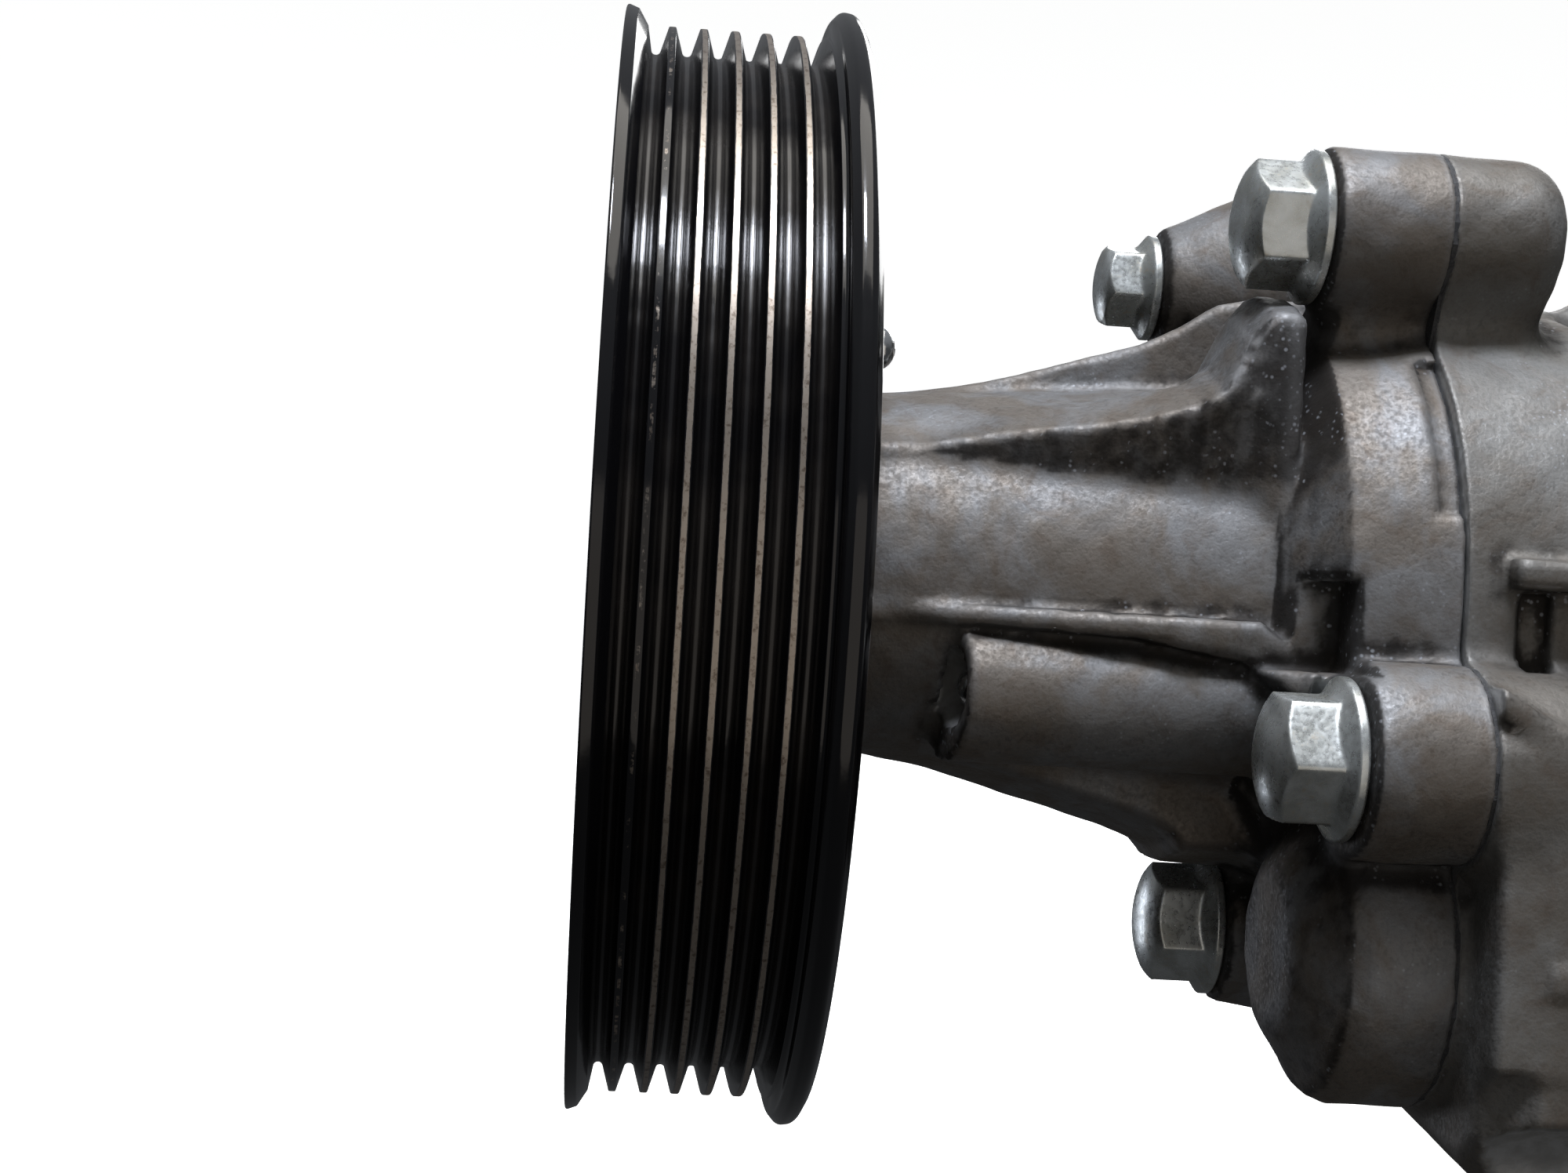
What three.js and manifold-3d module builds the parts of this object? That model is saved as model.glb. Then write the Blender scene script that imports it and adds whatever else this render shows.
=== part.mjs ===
// Engine coolant pump: a belt-driven rotor in a two-piece aluminium housing.
//
// Frame, in millimetres: the shaft lies on the x axis with the pulley at its -x end.
// The plane x = 0 is the machined face that bolts to the engine, and the origin is
// where the shaft axis meets it. +z is up, and the outlet leg hangs on the -y side.

import * as THREE from 'three';
import { mergeVertices } from 'three/addons/utils/BufferGeometryUtils.js';
import Module from 'manifold-3d';

const wasm = await Module();
wasm.setup();

// ---------------------------------------------------------------- driving dimensions

const GAP = 0.3;              // clearance between pieces that touch when assembled
const FINE = 44;              // facets round the pulley and the nose
const MEDIUM = 24;            // facets round rings and bosses
const COARSE = 12;            // facets round bolts and holes

// Poly-V pulley, spun from one sheet: the open side faces forward.
const PITCH = 3.56;           // standard rib spacing of a PK belt
const GROOVES = 6;
const CREST_R = 62.2;
const FLOOR_R = 59.0;
const LIP_R = 64.5;
const REAR_LIP_R = 65.2;
const SKIN_R = 56.8;          // inside of the rim
const GROOVE_X = -130;        // where the first groove starts
const GROOVES_END_X = GROOVE_X + GROOVES * PITCH;
const LIP_W = 1.6;
const WEB_X = -105.1;         // rear face of the pulley's web
const SHEET = 2.5;
const RIVET_R = 54.4;         // where the balance rivet sits

// Drive hub and the pulley bolts.
const HUB_FACE_X = -114.0;    // plane where the pulley sits on the hub
const HUB_R = 27;
const HUB_T = 5;
const PILOT_R = 11;
const PULLEY_BOLTS = 4;
const PULLEY_BOLT_PCR = 19;

// Integral shaft bearing.
const SHAFT_R = 7.96;
const SHAFT_FRONT_X = -120.5;
const SHAFT_REAR_X = -27.5;
const RING_R = 15;
const RING_BORE = 12.6;
const RING_X = [-101.8, -62.6];
const BALL_X = -93;
const ROLLER_X = -73;
const ROLLING_R = 2.25;       // radius of balls and rollers
const BALLS = 9;
const ROLLERS = 12;

// Bearing housing, the front casting.
const NOSE_X = -102.2;
const NOSE_R = 22;
const NOSE_ROOT_X = -56.4;
const NOSE_ROOT_R = 24.8;
const DRUM_X = -50.5;         // where the front wall has opened out to the drum
const DRUM_R = 34;
const JOINT_X = -39;          // joint between the two castings
const GASKET_T = 0.6;
const GUSSET_RISE = 9;        // how far a gusset's crest has risen before it turns up to its boss
const SEAL_BORE = 17.3;

// Standard flanged hexagon bolts: head is the height to the end of the hexagon.
const M8 = { shank: 4, across: 13, head: 8, dome: 1.3, flange: 8.8 };
const M6 = { shank: 3, across: 10, head: 6.8, dome: 0.9, flange: 7.0 };

// Bolts that hold the castings together: centre (y, z), radius of the boss under the
// head, radius of the ear it stands on at the joint, plane of the seat, size, and the
// turn of the hexagon's first corner from +y.
const BOLTS = [
  { name: 'housing_bolt_top', y: -18, z: 42, boss: 9.2, ear: 9.2, seat: -51.8, size: M8, turn: 99 },
  { name: 'housing_bolt_side', y: -36.5, z: -17.5, boss: 10.6, ear: 10.6, seat: -51, size: M8, turn: 69 },
  { name: 'housing_bolt_bottom', y: 10, z: -41.5, boss: 9.6, ear: 10.5, seat: -52.2, size: M8, turn: 80 },
  { name: 'housing_bolt_far', y: 38, z: -22, boss: 9.6, ear: 10.5, seat: -51.8, size: M8, turn: 70 },
  { name: 'housing_bolt_small', y: 28, z: 41, boss: 7.6, ear: 15, seat: -59.8, size: M6, turn: 78 },
];
const BOSS_REAR_X = -24.5;    // how far the threaded bosses run into the rear casting
const SCROLL = { y: -22, z: -39.5, r: 17 };   // swelling of the volute towards the outlet

// Weep passage along the nose.
const BULGE = { y: -17.5, z: -12.8, r: 8.2, from: -90, to: -60 };
const WEEP = { y: -19.5, z: -12.5, r: 3 };
const SLINGER_CHAMBER = [-62, -57];

// Pump body, the rear casting.
const CHAMBER_R = 30.5;
const IMPELLER_CHAMBER = [JOINT_X, -27];
const INLET_CHAMBER = [-25, -8];
const EYE_R = 15;
const FLANGE_X = -11;         // front face of the mounting lugs
const LEG_X = -32;            // where the outlet leg has reached its full depth
const UPPER_LEG = [[-46, -16], [-30, -8], [4, -18], [4, -48], [-12, -55], [-36, -55], [-46, -48]];
const LOWER_LEG = [[-46, -14], [-30, -8], [4, -18], [4, -50], [-12, -61], [-38, -64], [-46, -58]];
const LUG_R = 10;
const LUG_HOLE_R = 4.5;
const LUGS = [[-40, 26], [-6, 46], [46, -28], [-48, -62], [8, -68]];
const OUTLET_R = 13;
const O_RING_R = 15.6;
const TUBE = { x: -18.5, z: 6, r: 15, wall: 2, from: 34, to: 70 };

// Impeller.
const IMPELLER_R = 27;
const VANES = 7;
const DISC_X = -41.6;
const VANE_H = 10;

// ---------------------------------------------------------------- geometry helpers

// A lathe turns about y and an extrusion runs along z: these put both on the x axis.
const LATHE_TO_X = new THREE.Matrix4().set(0, 1, 0, 0, 0, 0, 1, 0, 1, 0, 0, 0, 0, 0, 0, 1);
const EXTRUDE_TO_X = new THREE.Matrix4().set(0, 0, 1, 0, 1, 0, 0, 0, 0, 1, 0, 0, 0, 0, 0, 1);

// Turn a closed three.js geometry into a manifold solid with its faces pointing out.
function solid(geometry) {
  const bare = geometry.clone();
  bare.deleteAttribute('normal');
  bare.deleteAttribute('uv');
  const merged = mergeVertices(bare, 1e-4);
  const p = merged.attributes.position;
  const index = merged.index.array;
  const triangles = [];
  let volume = 0;
  const [a, b, c] = [new THREE.Vector3(), new THREE.Vector3(), new THREE.Vector3()];
  for (let i = 0; i < index.length; i += 3) {
    const [i0, i1, i2] = [index[i], index[i + 1], index[i + 2]];
    if (i0 === i1 || i1 === i2 || i2 === i0) continue;
    triangles.push(i0, i1, i2);
    a.fromBufferAttribute(p, i0);
    b.fromBufferAttribute(p, i1);
    c.fromBufferAttribute(p, i2);
    volume += a.dot(b.cross(c));
  }
  if (volume < 0) triangles.reverse();
  return new wasm.Manifold(new wasm.Mesh({
    numProp: 3,
    vertProperties: new Float32Array(p.array),
    triVerts: new Uint32Array(triangles),
  }));
}

// A solid of revolution about an axis parallel to x through (y, z).
function turned(profile, segments = MEDIUM, y = 0, z = 0) {
  const points = profile.map(([x, r]) => new THREE.Vector2(r, x));
  const geometry = new THREE.LatheGeometry(points, segments).applyMatrix4(LATHE_TO_X);
  return solid(geometry.translate(0, y, z));
}

function rod(x0, x1, r, segments = MEDIUM, y = 0, z = 0) {
  return turned([[x0, 0], [x0, r], [x1, r], [x1, 0]], segments, y, z);
}

function ring(x0, x1, inner, outer, segments = MEDIUM, y = 0, z = 0) {
  const profile = [[x0, inner], [x0, outer], [x1, outer], [x1, inner], [x0, inner]];
  return turned(profile, segments, y, z);
}

// A prism of a (y, z) outline from x0 to x1.
function prism(shape, x0, x1, curveSegments = 12) {
  const options = { depth: x1 - x0, bevelEnabled: false, curveSegments };
  const geometry = new THREE.ExtrudeGeometry(shape, options).applyMatrix4(EXTRUDE_TO_X);
  return solid(geometry.translate(x0, 0, 0));
}

function polygon(points) {
  return new THREE.Shape(points.map(([u, v]) => new THREE.Vector2(u, v)));
}

// A straight bar of width w between two (y, z) points.
function bar(x0, x1, from, to, w) {
  const along = new THREE.Vector2(to[0] - from[0], to[1] - from[1]).normalize();
  const [sy, sz] = [-along.y * w / 2, along.x * w / 2];
  return prism(polygon([
    [from[0] + sy, from[1] + sz], [from[0] - sy, from[1] - sz],
    [to[0] - sy, to[1] - sz], [to[0] + sy, to[1] + sz],
  ]), x0, x1);
}

function joined(...solids) {
  return solids.reduce((sum, next) => sum.add(next));
}

function cut(body, ...tools) {
  return tools.reduce((rest, tool) => rest.subtract(tool), body);
}

// A plate that stands on the nose in the plane through the axis at the given angle.
// Its outline is in (x, radius).
function radialPlate(outline, angle, thickness) {
  const options = { depth: thickness, bevelEnabled: false };
  const geometry = new THREE.ExtrudeGeometry(polygon(outline), options);
  geometry.translate(0, 0, -thickness / 2);
  return solid(geometry.applyMatrix4(new THREE.Matrix4().makeRotationX(angle)));
}

// A cylinder whose axis starts at (x, y, z) and runs along the unit vector direction.
function crossRod(x, y, z, direction, length, r, segments = COARSE) {
  const geometry = new THREE.CylinderGeometry(r, r, length, segments).translate(0, length / 2, 0);
  const turn = new THREE.Quaternion().setFromUnitVectors(new THREE.Vector3(0, 1, 0), direction);
  return solid(geometry.applyQuaternion(turn).translate(x, y, z));
}

const assembly = new THREE.Group();

const FINISH = {
  blackCoat: { color: 0x17181a, roughness: 0.3, metalness: 0.4 },
  steel: { color: 0x9a9c9e, roughness: 0.3, metalness: 1 },
  zinc: { color: 0xb9c0c4, roughness: 0.35, metalness: 1 },
  castAluminium: { color: 0x77726b, roughness: 0.6, metalness: 0.8 },
  rubber: { color: 0x1b1b1b, roughness: 0.8, metalness: 0 },
  brass: { color: 0xa98d54, roughness: 0.4, metalness: 1 },
  carbon: { color: 0x2a2b2d, roughness: 0.5, metalness: 0 },
  gasket: { color: 0x3d3f40, roughness: 0.8, metalness: 0 },
  cage: { color: 0x6b5a3a, roughness: 0.6, metalness: 0 },
  ceramic: { color: 0xd8d4c8, roughness: 0.4, metalness: 0 },
};

// Put a finished solid into the assembly as a named mesh.
function place(name, body, finish) {
  const mesh = body.getMesh();
  const geometry = new THREE.BufferGeometry();
  geometry.setAttribute('position', new THREE.BufferAttribute(mesh.vertProperties, 3));
  geometry.setIndex(new THREE.BufferAttribute(mesh.triVerts, 1));
  const piece = new THREE.Mesh(geometry, new THREE.MeshStandardMaterial(finish));
  piece.name = name;
  assembly.add(piece);
}

// ---------------------------------------------------------------- pulley and hub

// Rim profile from the inside of the front lip, over the grooves, to the inner skin.
function pulleyProfile() {
  const profile = [[GROOVE_X - 0.6, SKIN_R], [GROOVE_X - LIP_W, LIP_R - 1], [GROOVE_X - LIP_W, LIP_R]];
  profile.push([GROOVE_X - 0.3, LIP_R - 0.6]);
  const crest = 0.35;
  const floor = 0.5;
  for (let i = 0; i < GROOVES; i += 1) {
    const x = GROOVE_X + i * PITCH;
    profile.push([x + crest, CREST_R], [x + PITCH / 2 - floor, FLOOR_R]);
    profile.push([x + PITCH / 2 + floor, FLOOR_R], [x + PITCH - crest, CREST_R]);
  }
  profile.push([GROOVES_END_X + 0.6, REAR_LIP_R - 0.4], [GROOVES_END_X + 1.6, REAR_LIP_R]);
  profile.push([WEB_X - 0.8, REAR_LIP_R - 0.3], [WEB_X, LIP_R - 0.9]);
  profile.push([WEB_X, 40], [HUB_FACE_X - 0.2, 29], [HUB_FACE_X - 0.2, PILOT_R + GAP]);
  profile.push([HUB_FACE_X - 0.2 - SHEET, PILOT_R + GAP], [HUB_FACE_X - 0.2 - SHEET, 27.6]);
  profile.push([WEB_X - SHEET, 38.6], [WEB_X - SHEET, SKIN_R - 0.5], [WEB_X - SHEET - 0.5, SKIN_R]);
  profile.push([GROOVE_X - 0.6, SKIN_R]);
  return profile;
}

function boltCircle(count, radius, phase = 0) {
  return Array.from({ length: count }, (_, i) => {
    const angle = phase + (i * 2 * Math.PI) / count;
    return [radius * Math.cos(angle), radius * Math.sin(angle)];
  });
}

const pulleyBoltPlaces = boltCircle(PULLEY_BOLTS, PULLEY_BOLT_PCR, Math.PI / 4);

function pulley() {
  const holes = pulleyBoltPlaces.map(([y, z]) => rod(HUB_FACE_X - 5, HUB_FACE_X + 2, 3.3, COARSE, y, z));
  const rivetHole = rod(WEB_X - 5, WEB_X + 2, 1.6, 12, ...rivetPlace());
  return cut(turned(pulleyProfile(), FINE), ...holes, rivetHole);
}

function rivetPlace() {
  const angle = Math.PI - 0.4;
  return [RIVET_R * Math.cos(angle), RIVET_R * Math.sin(angle)];
}

function balanceRivet() {
  const [y, z] = rivetPlace();
  const dome = WEB_X + GAP;
  return turned([
    [WEB_X - SHEET - GAP - 0.8, 0], [WEB_X - SHEET - GAP - 0.8, 1.8], [WEB_X - SHEET - GAP, 1.8],
    [WEB_X - SHEET - GAP, 1.3], [dome, 1.3], [dome, 2.2], [dome + 0.9, 2], [dome + 1.6, 1.2],
    [dome + 1.9, 0],
  ], 16, y, z);
}

function driveHub() {
  const profile = [
    [HUB_FACE_X - 4, SHAFT_R + GAP], [HUB_FACE_X - 4, PILOT_R - 0.5], [HUB_FACE_X - 3.5, PILOT_R],
    [HUB_FACE_X, PILOT_R], [HUB_FACE_X, HUB_R], [HUB_FACE_X + HUB_T, HUB_R],
    [HUB_FACE_X + HUB_T, 14], [HUB_FACE_X + 10.5, 12.5], [HUB_FACE_X + 10.5, SHAFT_R + GAP],
    [HUB_FACE_X - 4, SHAFT_R + GAP],
  ];
  const holes = pulleyBoltPlaces.map(([y, z]) => (
    rod(HUB_FACE_X - 1, HUB_FACE_X + HUB_T + 1, 3.3, COARSE, y, z)
  ));
  return cut(turned(profile, MEDIUM), ...holes);
}

// A flanged hexagon bolt whose shank runs in +x; seat is the plane its flange bears on.
function flangedBolt(size, seat, shankLength, y, z, turnDegrees = 0) {
  const under = seat - GAP;
  const hexR = size.across / Math.sqrt(3);
  const phase = THREE.MathUtils.degToRad(turnDegrees);
  const hex = polygon(boltCircle(6, hexR, phase).map(([u, v]) => [y + u, z + v]));
  const end = under - size.head - size.dome;
  const crown = turned([
    [end, 0], [end, hexR * 0.45], [end + size.dome * 0.5, hexR * 0.76],
    [end + size.dome, hexR * 0.86], [end + size.dome + 1, hexR * 1.01], [under - 1, hexR * 1.01],
    [under - 1, 0],
  ], MEDIUM, y, z);
  const head = prism(hex, end - 0.1, under - 1).intersect(crown);
  const flange = turned([
    [under - 2.4, 0], [under - 2.4, hexR * 0.9], [under - 1, size.flange],
    [under, size.flange], [under, 0],
  ], MEDIUM, y, z);
  const shank = rod(under - 0.5, seat + shankLength, size.shank, COARSE, y, z);
  return joined(head, flange, shank);
}

// ---------------------------------------------------------------- shaft and bearing

function shaft() {
  return turned([
    [SHAFT_FRONT_X, 0], [SHAFT_FRONT_X, SHAFT_R - 0.8], [SHAFT_FRONT_X + 0.8, SHAFT_R],
    [SHAFT_REAR_X - 0.8, SHAFT_R], [SHAFT_REAR_X, SHAFT_R - 0.8], [SHAFT_REAR_X, 0],
  ], MEDIUM);
}

// Rolling elements joined by their cage; the cage is a thin ring at the pitch radius.
function rollingRow(x, count, element) {
  const pitchR = (SHAFT_R + RING_BORE) / 2;
  const cage = ring(x - 3.4, x + 3.4, pitchR - 0.7, pitchR + 0.7, MEDIUM);
  return boltCircle(count, pitchR).reduce((row, [y, z]) => row.add(element(y, z)), cage);
}

function ball(x, y, z) {
  return solid(new THREE.SphereGeometry(ROLLING_R, 10, 6).translate(x, y, z));
}

// ---------------------------------------------------------------- bearing housing

// Section of the joint flange: the drum, a boss at each bolt and the scroll's swelling.
function flangeBlock(x0, x1, seats) {
  const parts = [rod(x0, x1, DRUM_R, FINE)];
  for (const bolt of BOLTS) {
    const profile = seats
      ? [[bolt.seat, 0], [bolt.seat, bolt.boss], [JOINT_X - 6, bolt.ear], [x1, bolt.ear], [x1, 0]]
      : [[x0, 0], [x0, bolt.ear], [BOSS_REAR_X, bolt.ear], [BOSS_REAR_X, 0]];
    parts.push(turned(profile, MEDIUM, bolt.y, bolt.z));
    parts.push(bar(x0, seats ? x1 : BOSS_REAR_X, [0, 0], [bolt.y, bolt.z], 1.7 * bolt.boss));
  }
  const swelling = seats
    ? [[x0 - 5, 0], [x0 - 5, 8], [x0 + 4.5, SCROLL.r], [x1, SCROLL.r], [x1, 0]]
    : [[x0, 0], [x0, SCROLL.r], [x1, SCROLL.r], [x1, 0]];
  parts.push(turned(swelling, MEDIUM, SCROLL.y, SCROLL.z));
  parts.push(bar(seats ? x0 + 3 : x0, x1, [0, 0], [SCROLL.y, SCROLL.z], 1.9 * SCROLL.r));
  return joined(...parts);
}

// Gusset from the nose out to one bolt's boss: its crest is a curve that steepens.
function gusset(bolt) {
  const reach = Math.hypot(bolt.y, bolt.z);
  const start = NOSE_X + 7;
  const climb = reach - bolt.boss * 0.6 - NOSE_R - GUSSET_RISE;
  const crest = Array.from({ length: 9 }, (_, i) => {
    const t = i / 8;
    const x = THREE.MathUtils.lerp(start, bolt.seat + 1, t);
    return [x, NOSE_R - 1 + GUSSET_RISE * t + climb * t ** 7];
  });
  const outline = [[start, 17], ...crest, [JOINT_X - 1, reach - bolt.boss * 0.6], [JOINT_X - 1, 17]];
  return radialPlate(outline, Math.atan2(bolt.z, bolt.y), 5.5);
}

function bearingHousing() {
  const rear = JOINT_X - GAP;
  const nose = turned([
    [NOSE_X, 0], [NOSE_X, NOSE_R - 1], [NOSE_X + 1, NOSE_R], [NOSE_X + 10, NOSE_R],
    [NOSE_ROOT_X, NOSE_ROOT_R], [DRUM_X, DRUM_R], [rear, DRUM_R], [rear, 0],
  ], FINE);
  const bulge = rod(BULGE.from, BULGE.to, BULGE.r, MEDIUM, BULGE.y, BULGE.z);
  const outside = joined(nose, bulge, flangeBlock(DRUM_X, rear, true), ...BOLTS.map(gusset));
  const boltHoles = BOLTS.map((b) => rod(b.seat - 1, rear + 1, b.size.shank + GAP, COARSE, b.y, b.z));
  const headRoom = BOLTS.map((b) => rod(b.seat - 12, b.seat, b.size.flange + 0.8, MEDIUM, b.y, b.z));
  const bore = turned([
    [NOSE_X - 1, 0], [NOSE_X - 1, RING_R + GAP], [SLINGER_CHAMBER[0], RING_R + GAP],
    [SLINGER_CHAMBER[0], 17], [SLINGER_CHAMBER[1], 17], [SLINGER_CHAMBER[1], 12],
    [SLINGER_CHAMBER[1] + 1.5, 12], [SLINGER_CHAMBER[1] + 1.5, SEAL_BORE], [-43, SEAL_BORE],
    [-43, IMPELLER_R + 2.5], [rear + 1, IMPELLER_R + 2.5], [rear + 1, 0],
  ], MEDIUM);
  const weepMid = (SLINGER_CHAMBER[0] + SLINGER_CHAMBER[1]) / 2;
  const outward = new THREE.Vector3(0, WEEP.y, WEEP.z).normalize();
  const weep = rod(BULGE.from - 1, weepMid, WEEP.r, COARSE, WEEP.y, WEEP.z);
  const crossDrill = crossRod(weepMid - 2, outward.y * 14, outward.z * 14, outward, 9.5, 2);
  const dowels = dowelPlaces.map(([y, z]) => rod(JOINT_X - 5, rear + 1, 3 + GAP, COARSE, y, z));
  return cut(outside, ...headRoom, bore, ...boltHoles, weep, crossDrill, ...dowels);
}

// ---------------------------------------------------------------- gasket and pump body

const dowelPlaces = [[-31.5, -35], [31, -9.5]];

function jointGasket() {
  const slice = rod(JOINT_X, JOINT_X + GASKET_T, 90, COARSE);
  const sheet = flangeBlock(JOINT_X, JOINT_X + GASKET_T, false).intersect(slice);
  const holes = BOLTS.map((b) => rod(JOINT_X - 1, JOINT_X + 2, b.size.shank + GAP, COARSE, b.y, b.z));
  const dowels = dowelPlaces.map(([y, z]) => rod(JOINT_X - 1, JOINT_X + 2, 3 + GAP, COARSE, y, z));
  return cut(sheet, rod(JOINT_X - 1, JOINT_X + 2, CHAMBER_R, FINE), ...holes, ...dowels);
}

function pumpBody() {
  const front = JOINT_X + GASKET_T + GAP;
  const drum = rod(front, 0, DRUM_R + 2, FINE);
  const leg = joined(
    prism(polygon(UPPER_LEG), front, 0),
    prism(polygon(LOWER_LEG), LEG_X, 0),
  );
  const lugs = LUGS.flatMap(([y, z]) => [
    rod(FLANGE_X, 0, LUG_R, MEDIUM, y, z),
    bar(FLANGE_X, 0, [y * 0.3, z * 0.3], [y, z], 1.7 * LUG_R),
  ]);
  const socket = crossRod(TUBE.x, 0, TUBE.z, new THREE.Vector3(0, 1, 0), 46, TUBE.r + 3.5, MEDIUM)
    .intersect(rod(-38, 0, 60, FINE));
  const outside = joined(flangeBlock(front, -20, false), drum, leg, socket, ...lugs);

  const impellerChamber = rod(IMPELLER_CHAMBER[0] - 1, IMPELLER_CHAMBER[1], CHAMBER_R, FINE);
  const eye = rod(IMPELLER_CHAMBER[1] - 1, INLET_CHAMBER[0] + 1, EYE_R, MEDIUM);
  const inletChamber = rod(INLET_CHAMBER[0], INLET_CHAMBER[1], 27, FINE);
  const throat = bar(front - 1, -29, [0, 0], [SCROLL.y, SCROLL.z], 18);
  const outlet = rod(-36, 1, OUTLET_R, MEDIUM, SCROLL.y, SCROLL.z);
  const oRingGroove = ring(-2.4, 1, O_RING_R - 1.4, O_RING_R + 1.4, MEDIUM, SCROLL.y, SCROLL.z);
  const sideways = new THREE.Vector3(0, 1, 0);
  const tubeBore = crossRod(TUBE.x, TUBE.from - GAP, TUBE.z, sideways, 60, TUBE.r + GAP, MEDIUM);
  const tubeWay = crossRod(TUBE.x, 0, TUBE.z, new THREE.Vector3(0, 1, 0), 40, TUBE.r - TUBE.wall, MEDIUM)
    .intersect(rod(INLET_CHAMBER[0], INLET_CHAMBER[1], 60, MEDIUM));
  const threads = BOLTS.map((b) => (
    rod(front - 1, BOSS_REAR_X - 4, b.size.shank + GAP, COARSE, b.y, b.z)
  ));
  const lugHoles = LUGS.map(([y, z]) => rod(FLANGE_X - 1, 1, LUG_HOLE_R, COARSE, y, z));
  const dowels = dowelPlaces.map(([y, z]) => rod(front - 1, JOINT_X + 6, 3 + GAP, COARSE, y, z));
  return cut(outside, impellerChamber, eye, inletChamber, throat, outlet, oRingGroove, tubeWay,
    tubeBore, ...threads, ...lugHoles, ...dowels);
}

function inletTube() {
  const inner = TUBE.r - TUBE.wall;
  const points = [
    [inner, TUBE.from], [TUBE.r, TUBE.from], [TUBE.r, TUBE.to - 8], [TUBE.r + 1.2, TUBE.to - 6.4],
    [TUBE.r, TUBE.to - 4.8], [TUBE.r, TUBE.to], [inner, TUBE.to], [inner, TUBE.from],
  ].map(([r, y]) => new THREE.Vector2(r, y));
  return solid(new THREE.LatheGeometry(points, MEDIUM).translate(TUBE.x, 0, TUBE.z));
}

// ---------------------------------------------------------------- impeller

// One vane: an arc that leans back from the hub to the rim of the disc.
function vane(index) {
  const points = 8;
  const sweep = 0.9;
  const outer = [];
  const inner = [];
  for (let i = 0; i < points; i += 1) {
    const t = i / (points - 1);
    const r = THREE.MathUtils.lerp(11, IMPELLER_R - 0.6, t);
    const angle = (index * 2 * Math.PI) / VANES + sweep * t;
    const half = 1.1 / r;
    outer.push([r * Math.cos(angle + half), r * Math.sin(angle + half)]);
    inner.unshift([r * Math.cos(angle - half), r * Math.sin(angle - half)]);
  }
  return prism(polygon([...outer, ...inner]), DISC_X + 2, DISC_X + 2.6 + VANE_H);
}

function impeller() {
  const disc = turned([
    [DISC_X, SHAFT_R + GAP], [DISC_X, IMPELLER_R], [DISC_X + 2.6, IMPELLER_R],
    [DISC_X + 4, 15], [DISC_X + 12.5, 12], [DISC_X + 12.5, SHAFT_R + GAP], [DISC_X, SHAFT_R + GAP],
  ], FINE);
  return joined(disc, ...Array.from({ length: VANES }, (_, i) => vane(i)))
    .subtract(rod(DISC_X - 1, DISC_X + 20, SHAFT_R + GAP, MEDIUM));
}

// ---------------------------------------------------------------- assembly

place('pulley', pulley(), FINISH.blackCoat);
place('balance_rivet', balanceRivet(), FINISH.zinc);
place('drive_hub', driveHub(), FINISH.steel);
pulleyBoltPlaces.forEach(([y, z], i) => {
  const seat = HUB_FACE_X - 0.2 - SHEET;
  place(`pulley_bolt_${i + 1}`, flangedBolt(M6, seat, 8.5, y, z, 15 * i), FINISH.zinc);
});
place('shaft', shaft(), FINISH.steel);

const ringBody = turned([
  [RING_X[0], RING_BORE + 0.9], [RING_X[0], RING_R], [RING_X[1], RING_R], [RING_X[1], RING_BORE + 0.9],
  [RING_X[1] - 3.2, RING_BORE + 0.9], [RING_X[1] - 3.2, RING_BORE + 0.15],
  [RING_X[0] + 3.2, RING_BORE + 0.15], [RING_X[0] + 3.2, RING_BORE + 0.9],
  [RING_X[0], RING_BORE + 0.9],
], MEDIUM);
place('bearing_ring', ringBody, FINISH.steel);
const bearingSeal = (x0, x1) => ring(x0, x1, SHAFT_R + 0.25, RING_BORE + 0.6);
place('bearing_seal_front', bearingSeal(RING_X[0] + 0.3, RING_X[0] + 2.6), FINISH.rubber);
place('bearing_seal_rear', bearingSeal(RING_X[1] - 2.6, RING_X[1] - 0.3), FINISH.rubber);
place('ball_row', rollingRow(BALL_X, BALLS, (y, z) => ball(BALL_X, y, z)), FINISH.cage);
const roller = (y, z) => rod(ROLLER_X - 5, ROLLER_X + 5, 2.1, 12, y, z);
place('roller_row', rollingRow(ROLLER_X, ROLLERS, roller), FINISH.cage);

place('slinger', ring(-60.6, -59.2, SHAFT_R + GAP, 14.4), FINISH.rubber);
place('bearing_housing', bearingHousing(), FINISH.castAluminium);
place('weep_plug', solid(new THREE.SphereGeometry(WEEP.r - GAP, 12, 8)
  .translate(BULGE.from + 2.2, WEEP.y, WEEP.z)), FINISH.zinc);

const cup = turned([
  [-55.2, 12.4], [-55.2, 17], [-44.4, 17], [-44.4, 16.2], [-54.4, 16.2], [-54.4, 12.4], [-55.2, 12.4],
], MEDIUM);
place('seal_cup', cup, FINISH.brass);
place('seal_bellows', ring(-54.1, -49, 10.4, 15.9), FINISH.rubber);
place('seal_carbon_ring', ring(-48.7, -45.6, 9.2, 14.4), FINISH.carbon);
place('seal_seat', ring(-45.3, DISC_X - GAP, SHAFT_R + 0.25, 13), FINISH.ceramic);

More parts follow.
